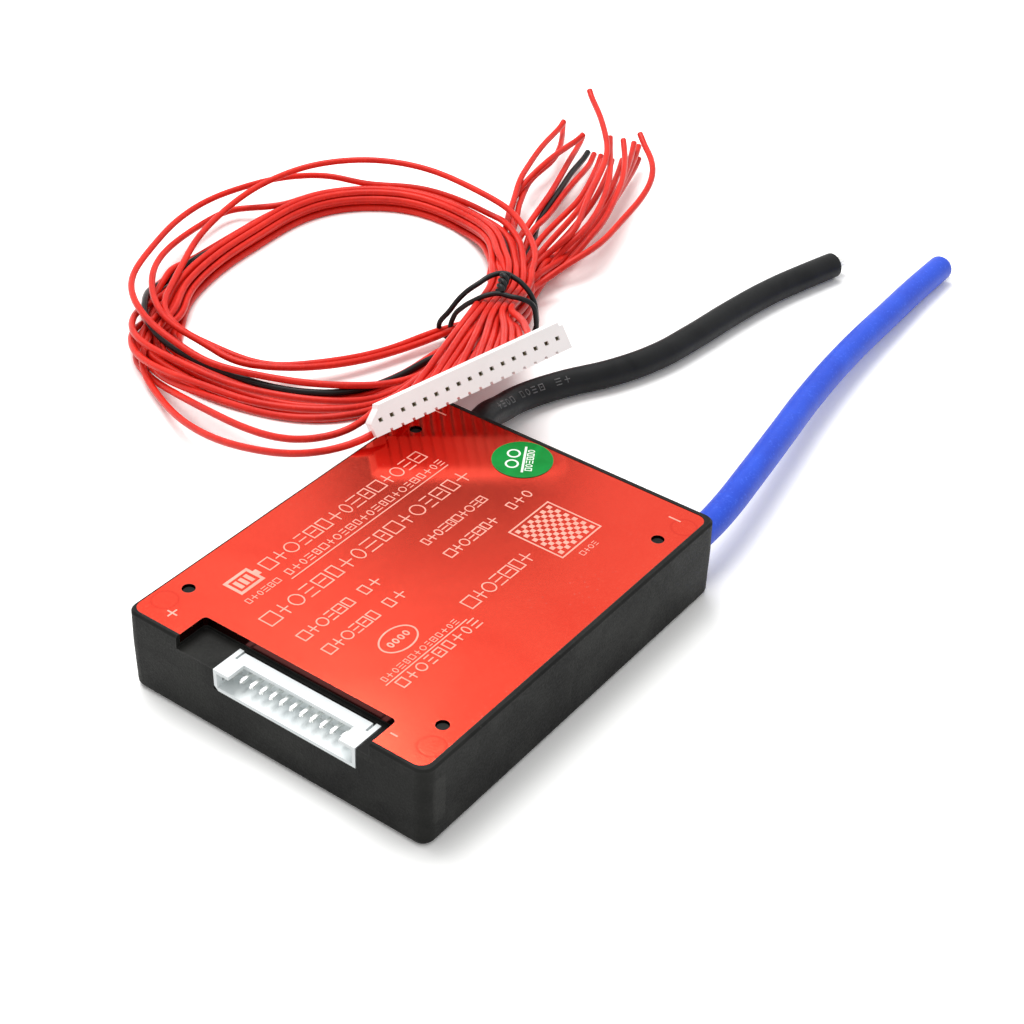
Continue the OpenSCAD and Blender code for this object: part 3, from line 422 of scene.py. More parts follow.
def makeEdgeWearAndHighlight():   # paler along edges: partly wear where an edge has been handled, partly a painted highlight along the edge
    group, given, out = newGroup("rubbedEdge", {"Radius": 0.0006, "Wear Scale": 400}, ["Edge"])
    bevel = addNode(group, "Bevel", {"Radius": given.outputs["Radius"]}, samples=4)
    flat = addNode(group, "NewGeometry").outputs["Normal"]
    meet = addNode(group, "VectorMath", {0: bevel.outputs["Normal"], 1: flat}, operation="DOT_PRODUCT")
    edge = mapped(group, meet.outputs["Value"], 0.995, 0.86)
    place = addNode(group, "TexCoord").outputs["Object"]
    wear = addNode(group, "TexNoise", {"Vector": place, "Scale": given.outputs["Wear Scale"]}, Detail=3.0)
    patchy = mapped(group, wear.outputs["Fac"], 0.3, 0.62, 0.25, 1)
    group.links.new(times(group, edge, patchy), out.inputs["Edge"])
    return group


def makeDust():   # specks that settle on upward faces
    group, given, out = newGroup("settledDust", {"Speck Scale": 900, "Cover": 0.5}, ["Dust"])
    place = addNode(group, "TexCoord").outputs["Object"]
    speck = addNode(group, "TexVoronoi", {"Vector": place, "Scale": given.outputs["Speck Scale"]})
    dots = mapped(group, speck.outputs["Distance"], 0.16, 0.05)
    field = addNode(group, "TexNoise", {"Vector": place}, Scale=55.0, Detail=3.0)
    patches = mapped(group, field.outputs["Fac"], 0.5, 0.68)
    upward = addNode(group, "SeparateXYZ", {"Vector": addNode(group, "NewGeometry").outputs["Normal"]})
    level = mapped(group, upward.outputs["Z"], 0.2, 0.9)
    both = times(group, times(group, dots, patches), level)
    group.links.new(times(group, both, given.outputs["Cover"]), out.inputs["Dust"])
    return group


groups = dict(grain=makeGrain(), scuffs=makeScuffs(), edge=makeEdgeWearAndHighlight(), dust=makeDust())


# ---- finishes ----
def useGroup(tree, name, **values):
    node = tree.nodes.new("ShaderNodeGroup")
    node.node_tree = groups[name]
    for key, value in values.items():
        label = "".join(" " + c if c.isupper() else c for c in key).title()
        node.inputs[label].default_value = value
    return node.outputs


def tinted(tree, base, change, factor):   # one colour going over to another with a mask
    node = tree.nodes.new("ShaderNodeMix")
    node.data_type = "RGBA"
    for key, value in ((6, base), (7, change)):
        if isinstance(value, (tuple, list)):
            node.inputs[key].default_value = (*value, 1)
        else:
            tree.links.new(value, node.inputs[key])
    tree.links.new(factor, node.inputs[0])
    return node.outputs[2]


def newFinish(name, metallic=0.0, specular=0.5, coat=0.0, coatRoughness=0.1):
    material = bpy.data.materials.new(name)
    material.use_nodes = True
    tree = material.node_tree
    shader = next(n for n in tree.nodes if n.type == "BSDF_PRINCIPLED")
    shader.inputs["Metallic"].default_value = metallic
    shader.inputs["Specular IOR Level"].default_value = specular
    shader.inputs["Coat Weight"].default_value = coat
    shader.inputs["Coat Roughness"].default_value = coatRoughness
    return material, tree, shader


def layered(tree, look, drift, layers):   # the drifting base colour, with masked colours over it in order
    colour = tinted(tree, look["colour"], look["shade"], drift)
    for name, mask in layers:
        colour = tinted(tree, colour, look[name], mask)
    return colour


def setSurface(tree, shader, colour, rough, height, strength, depth):
    bump = addNode(tree, "Bump", {"Height": height}, Strength=strength, Distance=depth * mm)
    for label, source in (("Base Color", colour), ("Roughness", rough), ("Normal", bump.outputs["Normal"])):
        tree.links.new(source, shader.inputs[label])


dustColour = (0.5, 0.48, 0.45)


def plainFinish(name, look):   # a drift of tone, grain in colour, roughness and bump, paler edges (wear and a painted highlight) and dust
    material, tree, shader = newFinish(name, look.get("metallic", 0), look.get("specular", 0.5),
                                       look.get("coat", 0))
    grain = useGroup(tree, "grain", grainScale=look["grain"], driftScale=look.get("drift", 60))
    colour = tinted(tree, look["colour"], look["shade"], grain["Drift"])
    if "speckle" in look:
        colour = tinted(tree, colour, look["speckle"], mapped(tree, grain["Grain"], 0.62, 1, 0, 0.6))
    if "edge" in look:
        # paler edges: wear, and a painted highlight along them
        edge = useGroup(tree, "edge", radius=look.get("edgeRadius", 0.3) * mm)["Edge"]
        colour = tinted(tree, colour, look["edge"], times(tree, edge, look.get("edgeAmount", 0.6)))
    if "dust" in look:
        dust = useGroup(tree, "dust", cover=look["dust"])["Dust"]
        colour = tinted(tree, colour, dustColour, dust)
    setSurface(tree, shader, colour, mapped(tree, grain["Grain"], 0, 1, *look["roughness"]), grain["Grain"],
               look.get("bump", 0.15), look.get("bumpDepth", 0.03))
    return material


# edge: the colour of paler edges, wear together with a painted highlight
looks = {
    "socketNylon": dict(colour=(0.82, 0.86, 0.86), shade=(0.73, 0.78, 0.79), grain=2500, drift=140,
        roughness=(0.32, 0.44), bump=0.08, edge=(0.95, 0.96, 0.95), edgeAmount=0.5),
    "plugNylon": dict(colour=(0.97, 0.97, 0.96), shade=(0.93, 0.93, 0.92), grain=2500, drift=140,
        roughness=(0.32, 0.45), bump=0.08, edge=(0.99, 0.99, 0.98), edgeAmount=0.4),
    "tinPlate": dict(colour=(0.95, 0.95, 0.93), shade=(0.86, 0.86, 0.84), grain=1800, drift=400,
        roughness=(0.3, 0.5), metallic=1, bump=0.12),
    "tinnedBrass": dict(colour=(0.62, 0.53, 0.36), shade=(0.50, 0.42, 0.28), grain=1800, drift=400,
        roughness=(0.2, 0.38), metallic=1, bump=0.12),
    "barCopper": dict(colour=(0.80, 0.40, 0.24), shade=(0.60, 0.27, 0.15), grain=1400, drift=120,
        roughness=(0.24, 0.46), metallic=1, bump=0.2, edge=(0.95, 0.62, 0.45)),
    "solder": dict(colour=(0.62, 0.63, 0.65), shade=(0.45, 0.46, 0.48), grain=1200, drift=300,
        roughness=(0.18, 0.42), metallic=1, bump=0.35, bumpDepth=0.06),
    "chipBlack": dict(colour=(0.022, 0.022, 0.024), shade=(0.035, 0.035, 0.037), grain=2600,
        roughness=(0.5, 0.68), bump=0.2, edge=(0.10, 0.10, 0.10)),
    "ceramicTan": dict(colour=(0.50, 0.36, 0.21), shade=(0.42, 0.29, 0.17), grain=1500,
        roughness=(0.24, 0.4), bump=0.1, coat=0.2, edge=(0.66, 0.55, 0.40)),
    "beadGlaze": dict(colour=(0.50, 0.17, 0.05), shade=(0.36, 0.10, 0.03), grain=900,
        roughness=(0.08, 0.18), bump=0.05, coat=0.6),
    "padRubber": dict(colour=(0.48, 0.55, 0.62), shade=(0.40, 0.46, 0.53), grain=900, drift=150,
        roughness=(0.62, 0.82), bump=0.35, bumpDepth=0.05, speckle=(0.62, 0.68, 0.74)),
    "blackJacket": dict(colour=(0.008, 0.0085, 0.009), shade=(0.014, 0.0145, 0.015), grain=1600,
        drift=90, roughness=(0.36, 0.52), bump=0.12, dust=0.08, specular=0.14),
    "blueJacket": dict(colour=(0.022, 0.088, 0.68), shade=(0.018, 0.068, 0.58), grain=1600,
        drift=90, roughness=(0.36, 0.5), bump=0.12, speckle=(0.06, 0.15, 0.78), specular=0.26),
    "redWire": dict(colour=(0.76, 0.024, 0.011), shade=(0.60, 0.014, 0.007), grain=1400, drift=70,
        roughness=(0.3, 0.45), bump=0.1, speckle=(0.86, 0.042, 0.022), specular=0.24),
    "blackWire": dict(colour=(0.006, 0.0065, 0.007), shade=(0.011, 0.0115, 0.012), grain=1400,
        drift=90, roughness=(0.3, 0.44), bump=0.1, specular=0.24),
    "paleInk": dict(colour=(0.88, 0.40, 0.31), shade=(0.80, 0.32, 0.24), grain=5000, drift=300,
        roughness=(0.38, 0.55), bump=0.1),
    "whiteInk": dict(colour=(0.86, 0.90, 0.84), shade=(0.74, 0.84, 0.74), grain=5000, drift=300,
        roughness=(0.35, 0.5), bump=0.05),
    "greyInk": dict(colour=(0.10, 0.10, 0.10), shade=(0.05, 0.05, 0.05), grain=3500, drift=500,
        roughness=(0.4, 0.55), bump=0.05),
    "stickerFilm": dict(colour=(0.002, 0.27, 0.042), shade=(0.002, 0.21, 0.03), grain=3200,
        drift=220, roughness=(0.3, 0.42), bump=0.06, specular=0.1, edge=(0.05, 0.42, 0.14)),
}
finishes = {name: plainFinish(name, look) for name, look in looks.items()}


caseLook = dict(colour=(0.0065, 0.0065, 0.0062), shade=(0.0125, 0.0127, 0.0118),
                scuff=(0.034, 0.035, 0.031), edge=(0.04, 0.04, 0.039),
                dust=(0.3, 0.29, 0.27), insertShade=(0.03, 0.03, 0.028),
                roughness=(0.46, 0.64), cloudShine=0.1, grain=2600, drift=45, clouds=75, cloudAmount=0.8,
                edgeRadius=0.5, dustCover=0.12, bump=(0.35, 0.05),
                insertX=(-38.7, -35.3), insertZ=(4.0, 12.8), insertSoft=0.12, wallY=(-30.6, -30.7))


def makeCasePlastic(look):
    material, tree, shader = newFinish("mouldedCase", specular=0.1)
    grain = useGroup(tree, "grain", grainScale=look["grain"], driftScale=look["drift"])
    rubs = useGroup(tree, "scuffs", cloudScale=look["clouds"], amount=look["cloudAmount"])
    place = addNode(tree, "SeparateXYZ", {"Vector": addNode(tree, "TexCoord").outputs["Object"]})
    # the mark of a loose piece of the mould, near the front corner of the long wall
    soft = look["insertSoft"] * mm
    patch = mapped(tree, place.outputs["Y"], *(v * mm for v in look["wallY"]))
    for axis, (low, high) in (("X", look["insertX"]), ("Z", look["insertZ"])):
        rise = mapped(tree, place.outputs[axis], low * mm - soft, low * mm + soft)
        fall = mapped(tree, place.outputs[axis], high * mm + soft, high * mm - soft)
        patch = times(tree, patch, times(tree, rise, fall))
    colour = layered(tree, look, grain["Drift"], [
        ("insertShade", times(tree, patch, 0.7)),
        ("scuff", times(tree, rubs["Clouds"], 0.45)),
        ("scuff", times(tree, rubs["Scratches"], 0.4)),
        # edge layer: wear with a painted highlight along the rim
        ("edge", times(tree, useGroup(tree, "edge", radius=look["edgeRadius"] * mm)["Edge"], 0.6)),
        ("dust", useGroup(tree, "dust", cover=look["dustCover"])["Dust"]),
    ])
    rough = mapped(tree, grain["Grain"], 0, 1, *look["roughness"])
    rough = math2(tree, "SUBTRACT", rough, times(tree, rubs["Clouds"], look["cloudShine"]))
    setSurface(tree, shader, colour, rough, grain["Grain"], *look["bump"])
    return material


plateLook = dict(colour=(0.93, 0.072, 0.038), shade=(0.88, 0.058, 0.03), speckle=(0.99, 0.12, 0.07),
                 edge=(0.95, 0.25, 0.18), pressed=(0.74, 0.035, 0.02), paintedSideShade=(0.09, 0.008, 0.006),
                 dust=(0.85, 0.6, 0.55), roughness=(0.12, 0.18), metallic=0.96,
                 grain=5200, drift=38, clouds=120, edgeRadius=0.12, dustCover=0.18, bump=(0.06, 0.03),
                 ringDiameter=4.4, ringWidth=0.35, ringDepth=2, ringAt=(34.2, 27.4, 15.5))


def makeRedAnodised(look):
    material, tree, shader = newFinish("redAnodised", metallic=look["metallic"], specular=0.4,
                                       coat=0.04, coatRoughness=0.25)
    grain = useGroup(tree, "grain", grainScale=look["grain"], driftScale=look["drift"])
    rubs = useGroup(tree, "scuffs", cloudScale=look["clouds"], amount=0.5)
    place = addNode(tree, "TexCoord").outputs["Object"]
    # faint rings where the posts below press on the sheet, one outboard of each hole
    flatten = addNode(tree, "VectorMath", {0: place}, operation="ABSOLUTE")
    centre = addNode(tree, "VectorMath", {0: flatten.outputs["Vector"]}, operation="SUBTRACT")
    centre.inputs[1].default_value = [v * mm for v in look["ringAt"]]
    away = addNode(tree, "VectorMath", {0: centre.outputs["Vector"]}, operation="LENGTH").outputs["Value"]
    radius, width = look["ringDiameter"] / 2 * mm, look["ringWidth"] / 2 * mm
    ring = times(tree, *(mapped(tree, away, radius + side * width, radius) for side in (-2, 2)))
    facing = addNode(tree, "SeparateXYZ", {"Vector": addNode(tree, "NewGeometry").outputs["Normal"]})
    colour = layered(tree, look, grain["Drift"], [
        ("speckle", mapped(tree, grain["Grain"], 0.5, 1, 0, 0.5)),
        ("speckle", times(tree, rubs["Scratches"], 0.15)),
        ("pressed", times(tree, ring, 0.55)),
        # edge layer: wear with a painted highlight along the edges
        ("edge", useGroup(tree, "edge", radius=look["edgeRadius"] * mm)["Edge"]),
        ("dust", useGroup(tree, "dust", cover=look["dustCover"])["Dust"]),
        # the side faces and hole walls, which face away from the top, painted dark as shade
        ("paintedSideShade", mapped(tree, facing.outputs["Z"], 0.6, 0.2)),
    ])
    height = math2(tree, "SUBTRACT", grain["Grain"], times(tree, ring, look["ringDepth"]))
    setSurface(tree, shader, colour, mapped(tree, grain["Grain"], 0, 1, *look["roughness"]), height,
               *look["bump"])
    return material


boardLook = dict(colour=(0.006, 0.085, 0.035), shade=(0.004, 0.062, 0.026), track=(0.014, 0.15, 0.06),
                 edge=(0.35, 0.33, 0.18), roughness=(0.2, 0.34), grain=2200, drift=120, trackScale=220,
                 edgeRadius=0.2, bump=(0.2, 0.03))


def makeBoardLaminate(look):
    material, tree, shader = newFinish("boardLaminate", coat=0.35)
    grain = useGroup(tree, "grain", grainScale=look["grain"], driftScale=look["drift"])
    place = addNode(tree, "TexCoord").outputs["Object"]
    cells = addNode(tree, "TexVoronoi", {"Vector": place}, distance="MANHATTAN", feature="F1",
                    Scale=look["trackScale"], Randomness=0.6)
    tracks = mapped(tree, cells.outputs["Distance"], 0.42, 0.46)
    # paler edges: wear with a painted highlight along them
    edge = useGroup(tree, "edge", radius=look["edgeRadius"] * mm)["Edge"]
    colour = layered(tree, look, grain["Drift"], [("track", tracks), ("edge", times(tree, edge, 0.6))])
    setSurface(tree, shader, colour, mapped(tree, grain["Grain"], 0, 1, *look["roughness"]),
               math2(tree, "ADD", grain["Grain"], tracks), *look["bump"])
    return material


finishes["mouldedCase"] = makeCasePlastic(caseLook)
finishes["redAnodised"] = makeRedAnodised(plateLook)
finishes["boardLaminate"] = makeBoardLaminate(boardLook)

nodeFinishes = {
    "mouldedCase": ["case"],
    "redAnodised": ["heat_plate"],
    "padRubber": ["thermal_pads"],
    "boardLaminate": ["circuit_board"],
    "chipBlack": ["discharge_transistors", "charge_transistors", "balance_transistors", "balance_resistors",
                  "monitor_chip", "driver_chip"],
    "barCopper": ["current_shunts", "drain_bar", "load_source_bar", "pack_source_bar"],
    "ceramicTan": ["filter_capacitors"],
    "beadGlaze": ["temperature_sensor"],
    "socketNylon": ["socket_housing"],
    "plugNylon": ["plug_housing"],
    "tinPlate": ["socket_pins", "load_terminal", "pack_terminal", "load_core", "pack_core"],
    "tinnedBrass": ["plug_contacts"],
    "solder": ["load_solder", "pack_solder"],
    "stickerFilm": ["inspection_sticker"],
    "blackJacket": ["load_cable"],
    "blueJacket": ["pack_cable"],
    "redWire": ["wire_fan", "wire_coil", "wire_tails"],
    "blackWire": ["wire_tie"],
}
for finish, names in nodeFinishes.items():
    for name in names:
        for place in nodes[name].material_slots:
            place.material = finishes[finish]
print("finishes made:", len(finishes))


def meshPiece(name, mesh, material):
    bmesh.ops.recalc_face_normals(mesh, faces=mesh.faces)
    data = bpy.data.meshes.new(name)
    mesh.to_mesh(data)
    mesh.free()
    return addPiece(name, data, material)


# ---- heavy cables ----
cables = dict(
    load=dict(diameter=5.5, finish="blackJacket", slot="black_jacket", core="load_core",
        points=[(37.45, 25, 7.7), (40, 25, 7.7), (45, 25.2, 7.7), (50, 26.6, 7), (56.5, 28, 4.8),
                (64, 28.6, 3.2), (73, 25.8, 2.8), (84, 20, 2.8), (94, 16.6, 2.8), (105, 15, 2.8),
                (118, 13.8, 2.8), (131, 12, 2.8), (142, 9.4, 2.8), (150, 7.2, 2.8)]),
    pack=dict(diameter=5.5, finish="blueJacket", slot="blue_jacket", core="pack_core",
        points=[(37.45, -25.4, 7.7), (40, -25.4, 7.7), (45, -25.4, 7.7), (52, -24.9, 7.7), (64.5, -23, 7.4),
                (80, -20.2, 6.6), (97.5, -17, 5.6), (117.5, -14.4, 4.6), (139, -12.8, 3.6), (152, -12, 3.1),
                (164, -11.7, 2.8)]),
)
# The cut end is a little rounded: how far back from the end, and what share of the radius
cutEnd = ((0.8, 1), (0.25, 0.985), (0, 0.9))
strandLook = dict(diameter=0.42, rings=(1, 6, 12), spacing=0.5, inside=4.0, out=2.6, knots=6,
                  twist=0.5, twistOver=3, splay=0.05, uneven=0.25, wave=3.1)
cablePrint = dict(start=14, signs="2140 0413 12", pitch=2.1, wide=1.3, high=1.45, stroke=0.22, clock=52,
                  level=(-0.06, 0.02), cuts=(-0.6, 0.6, 7), step=0.25)


def makeCable(name, c):
    points = [Vector(p) for p in c["points"]]
    way = (points[-1] - points[-2]).normalized()
    points[-1:] = [points[-1] - way * back for back, share in cutEnd]
    curve = newTube(name + "Jacket", c["diameter"], sides=24, steps=8)
    addSpline(curve, points, radii=[1] * (len(points) - len(cutEnd)) + [share for back, share in cutEnd])
    jacket = addPiece(name + "_jacket", curve, finishes[c["finish"]])
    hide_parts(name + "_cable")

    # the stranded conductor, seen where it leaves the jacket
    s = strandLook
    curve = newTube(name + "Strands", s["diameter"], sides=8, steps=3)
    for ring, count in enumerate(s["rings"]):
        for k in range(count):
            turn = 2 * math.pi * k / count
            reach = s["out"] + s["uneven"] * math.sin(s["wave"] * k + ring)
            strand = []
            for along in np.linspace(-s["inside"], reach, s["knots"]):
                angle = turn + s["twist"] * along / s["twistOver"]
                spread = ring * s["spacing"] * (1 + s["splay"] * max(along, 0))
                strand.append(points[-1] + way * float(along) + spoke(way, angle) * spread)
            addSpline(curve, strand)
    core = addPiece(name + "_strands", curve, finishes["tinPlate"])
    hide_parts(c["core"])
    length = runLength(smoothPath(points, 1.0))
    return length


for name, c in cables.items():
    print(f"{name} cable: {makeCable(name, c) * 1000:.0f} mm long")


# ---- thin wires ----
paths = settleWires([smoothPath(wireRoute(n, w), harness["step"]) for n, w in enumerate(wires.values())])
for name, path in zip(wires, paths):
    black = name == "wire01"
    curve = newTube(name, harness["diameter"], sides=12, steps=3)
    addSpline(curve, list(path[:-1:2]) + [path[-1]])
    addPiece(name, curve, finishes["blackWire" if black else "redWire"])
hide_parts("wire_fan", "wire_coil", "wire_tails")


# ---- tie ----
# Two loops of thin black wire round the coil and the bundle, each (across, height, along) from the tie's
# middle, and the twist of their ends on top
tieLook = dict(diameter=1.1, twistTurns=1.6, twistRadius=0.52, twistOpening=0.35, twistKnots=14)
outerLoop = [(14.1, 3, -10.1), (11.8, 7.5, -10.2), (9.1, 11, -9.4), (6.3, 12.9, -8.2), (3.3, 13.8, -5.8),
             (1.1, 13.9, -5.2), (-0.8, 13.5, -5.9), (-2.9, 12.6, -7.2), (-4.9, 10.6, -8.8), (-5.8, 7, -9.4),
             (-5.7, 3.4, -9.3), (-4.4, 1, -9.2), (0, 0.8, -9.4), (7, 0.8, -9.8), (12.4, 1, -10.1)]
innerLoop = [(11.2, 5.3, -9.4), (9.2, 8.7, -10.8), (6.7, 11.2, -12), (4.2, 12.5, -11.9), (1.8, 12.8, -11.5),
             (-0.4, 12.6, -12), (-2.7, 12.3, -12.2), (-4.9, 10.8, -11.6), (-5.8, 7.5, -11.1),
             (-5.7, 3.4, -11), (-4.4, 1, -11), (0, 0.8, -11.1), (6, 0.8, -11.2), (10, 1, -11),
             (11.6, 2.6, -10.2)]
twistFrom, twistTo = (0.9, 14.2, -6.2), (1.6, 13.3, -11.4)


def makeTie():
    t = tieLook
    curve = newTube("wireTie", t["diameter"], sides=10, steps=6)
    for loop in (outerLoop, innerLoop):
        addSpline(curve, [inTie(*q) for q in loop], closed=True)
    low, high = (Vector(inTie(*q)) for q in (twistTo, twistFrom))
    way = (high - low).normalized()
    for half in (0, math.pi):
        twist = []
        for f in np.linspace(0, 1, t["twistKnots"]):
            angle = half + 2 * math.pi * t["twistTurns"] * f
            bulge = t["twistRadius"] * (1 + t["twistOpening"] * f)
            twist.append(low.lerp(high, float(f)) + spoke(way, angle) * bulge)
        addSpline(curve, twist)
    tie = addPiece("wire_tie_loops", curve, finishes["blackWire"])
    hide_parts("wire_tie")
    return tie


tie = makeTie()
print("harness:", ", ".join(f"{runLength(q) * 1000:.0f}" for q in paths), "mm")


# ---- printing on the plate and the sticker ----
# Rows of plain marks: start, height of the row's foot, length, size and how closely the marks stand
printRows = [
    (-18.2, 19.3, 43.5, 2.9, 0.18),
    (-17, 15.9, 40.5, 1.6, 0.3),
    (-28.6, 9.4, 51.5, 3.1, 0.22),
    (3.2, 3.3, 16.3, 1.9, 0.12),
    (-28, 2.9, 12.6, 2.3, 0.14),
    (-13.2, 2.9, 6.2, 2.3, 0.3),
    (3, -1.9, 14.6, 2.1, 0.14),
    (20.2, -1.9, 5.8, 2.1, 0.3),
    (-28, -2.3, 12.6, 2.3, 0.14),
    (-13.2, -2.3, 6.2, 2.3, 0.3),
    (-5.4, -12.7, 17.2, 2.8, 0.12),
    (-27.6, -13, 19.5, 1.2, 0.35),
    (-26.9, -16.1, 20.2, 2.1, 0.3),
    (-26.6, 16, 7.4, 1.3, 0.25),
    (17.2, -18.6, 4.6, 1.1, 0.3),
]
# Single marks: place and size; rings and bars: first one, pitch, count, then their size
printMarks = dict(
    lines=[(-17.6, 15.0, 41.2), (-28.2, -13.6, 20.2)], lineWidth=0.22, stroke=0.24, bold=0.3,
    level=(-0.03, 0.02), widths=(0.86, 0.7, 0.92, 0.62),   # sunk and raised; widths of marks, in turn
    plus=(-35.9, 24.1, 2.1), minus=[(-35.9, -21.4, 1.4), (35.2, -24.9, 2.4), (35.6, 26.2, 2.4)], minusWidth=0.32,
    ring=(-18.5, -8.0, 3.9, 2.7), rings=(-1.9, 1.27, 4, 0.52, 0.7), field=(20.1, -10.6, 11.4, 11, 0.8),
    badge=(-22.9, 20.7, 5.6, 4.3, 0.6), bars=(1.15, 1.22, 3, 0.8, 1.1),
)


def addSlab(mesh, outline, low, high):   # an outline of points, given some height
    under = [mesh.verts.new((x * mm, y * mm, low * mm)) for x, y in outline]
    over = [mesh.verts.new((x * mm, y * mm, high * mm)) for x, y in outline]
    mesh.faces.new(under[::-1])
    mesh.faces.new(over)
    for k in range(len(outline)):
        m = (k + 1) % len(outline)
        mesh.faces.new((under[k], under[m], over[m], over[k]))


def addBar(mesh, x, y, w, h, level):
    addSlab(mesh, [(x, y), (x + w, y), (x + w, y + h), (x, y + h)], *level)


def addHoop(mesh, x, y, rx, ry, width, level, sides=40):   # an oval line
    for k in range(sides):
        a, b = (2 * math.pi * q / sides for q in (k, k + 1))
        addSlab(mesh, [(x + r * math.cos(t), y + s * math.sin(t)) for t, r, s in
                       ((a, rx, ry), (b, rx, ry), (b, rx - width, ry - width), (a, rx - width, ry - width))],
                *level)


def addFrame(mesh, x, y, w, h, width, level):   # a square line
    for bar in ((x, y, w, width), (x, y + h - width, w, width), (x, y + width, width, h - 2 * width),
                (x + w - width, y + width, width, h - 2 * width)):
        addBar(mesh, *bar, level)


def addSign(mesh, kind, x, y, w, h, t, level):   # one of a few plain marks that fill a place in a row
    if kind == 0:
        addFrame(mesh, x, y, w, h, t, level)
    elif kind == 1:
        for k in range(3):
            addBar(mesh, x, y + k * (h - t) / 2, w, t, level)
    elif kind == 2:
        addBar(mesh, x, y + (h - t) / 2, w, t, level)
        addBar(mesh, x + (w - t) / 2, y, t, (h - t) / 2, level)
        addBar(mesh, x + (w - t) / 2, y + (h + t) / 2, t, (h - t) / 2, level)
    elif kind == 3:
        addFrame(mesh, x, y, w, h, t, level)
        addBar(mesh, x + 2 * t, y + (h - t) / 2, w - 4 * t, t, level)
    else:
        addHoop(mesh, x + w / 2, y + h / 2, w / 2, h / 2, t, level, sides=14)


def printPlate(p):
    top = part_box("heat_plate")[1].z / mm
    level = [top + q for q in p["level"]]
    mesh = bmesh.new()
    for n, (x, y, length, size, gap) in enumerate(printRows):
        last, k = x + length - size * 0.6, n
        while x < last:
            wide = size * p["widths"][k % 4]
            stroke = p["stroke"] * min(1, size / 2)
            addSign(mesh, (k * 7 + n * 3) % 5, x, y, wide, size, stroke, level)
            x += wide + size * gap
            k += 1
    for x, y, length in p["lines"]:
        addBar(mesh, x, y, length, p["lineWidth"], level)
    x, y, size = p["plus"]
    addSign(mesh, 2, x - size / 2, y - size / 2, size, size, p["bold"], level)
    for x, y, size in p["minus"]:
        addBar(mesh, x - p["minusWidth"] / 2, y - size / 2, p["minusWidth"], size, level)
    x, y, rx, ry = p["ring"]
    addHoop(mesh, x, y, rx, ry, p["bold"], level)
    first, pitch, count, rx, ry = p["rings"]
    for k in range(count):
        addHoop(mesh, x + first + k * pitch, y, rx, ry, p["bold"], level, sides=12)
    # a plain chequered field in a frame
    x, y, side, count, margin = p["field"]
    x, y = x - side / 2, y - side / 2
    addFrame(mesh, x, y, side, side, p["bold"], level)
    cell = (side - 2 * margin) / count
    for i in range(count):
        for j in range(i % 2, count, 2):
            addBar(mesh, x + margin + i * cell, y + margin + j * cell, cell * 0.98, cell * 0.98, level)
    # a plain battery sign
    x, y, w, h, line = p["badge"]
    addFrame(mesh, x - w / 2, y - h / 2, w, h, line, level)
    addBar(mesh, x + w / 2, y - h / 6, 0.7, h / 3, level)
    first, pitch, count, wide, foot = p["bars"]
    for k in range(count):
        addBar(mesh, x - w / 2 + first + k * pitch, y - h / 2 + foot, wide, h - 2 * foot, level)
    return meshPiece("plate_print", mesh, finishes["paleInk"])


stickerMarks = dict(turn=30.4, line=(-0.3, 7.9, 0.42), big=(0.45, 2.5, 1.3, 3.2),
                    small=(-2.0, 1.3, 1.12), kinds=(0, 4, 1, 3, 0, 4), stroke=0.36, sunk=0.02)


def printSticker(p):
    low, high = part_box("inspection_sticker")
    cx, cy = ((low + high) / 2 / mm)[:2]
    level = (high.z / mm - p["sunk"], high.z / mm + p["sunk"])
    mesh = bmesh.new()
    foot, length, width = p["line"]
    addBar(mesh, -length / 2, foot - width / 2, length, width, level)
    foot, height, half, pitch = p["big"]
    for x in (-pitch / 2, pitch / 2):
        addHoop(mesh, x, foot + height / 2, half, height / 2, p["stroke"], level, sides=24)
    foot, height, pitch = p["small"]
    for k, kind in enumerate(p["kinds"]):
        addSign(mesh, kind, (k - 3) * pitch, foot, pitch * 0.78, height, p["stroke"] * 0.55, level)
    turn = Matrix.Rotation(math.radians(p["turn"]), 3, "Z")
    bmesh.ops.rotate(mesh, verts=mesh.verts, cent=(0, 0, 0), matrix=turn)
    bmesh.ops.translate(mesh, verts=mesh.verts, vec=(cx * mm, cy * mm, 0))
    return meshPiece("sticker_marks", mesh, finishes["whiteInk"])


def printCable(c, p):   # a row of plain signs, wrapped on to the jacket
    mesh = bmesh.new()
    for k, sign in enumerate(p["signs"]):
        if sign != " ":
            addSign(mesh, int(sign), k * p["pitch"], -p["high"] / 2, p["wide"], p["high"], p["stroke"],
                    p["level"])
    for cut in np.linspace(*p["cuts"]):   # so that the marks can bend round the jacket
        bmesh.ops.bisect_plane(mesh, geom=mesh.verts[:] + mesh.edges[:] + mesh.faces[:], dist=1e-7,
                               plane_co=(0, float(cut) * mm, 0), plane_no=(0, 1, 0))
    path = smoothPath(c["points"], p["step"])
    radius = c["diameter"] / 2
    for v in mesh.verts:
        x, y, z = v.co / mm
        place = (p["start"] + x) / p["step"]
        at = Vector(path[int(place)]).lerp(Vector(path[int(place) + 1]), place % 1)
        way = Vector(path[int(place) + 2] - path[int(place) - 2]).normalized()
        angle = math.radians(p["clock"]) + y / radius
        v.co = (at + spoke(way, angle) * (radius + z)) * mm
    return meshPiece("load_cable_marks", mesh, finishes["greyInk"])


printPlate(printMarks)
printSticker(stickerMarks)
printCable(cables["load"], cablePrint)
print("printing done")


# ---- floor and light ----
studio = dict(
    floorSize=8.0, floorColour=(0.75, 0.75, 0.745), floorSeen=(1.22, 1.22, 1.205), floorRough=0.6,
    worldFill=0.7, worldSeen=1.0,
    lampSize=0.62, lampAt=(0.17, 0.36, 0.88), lampPower=7.8,
    lampAim=(0.03, 0.02, 0),
    cardSize=(0.2, 0.9), cardAway=1.2, cardTurn=2.1, cardHeight=0.465, cardTone=0.02,
)


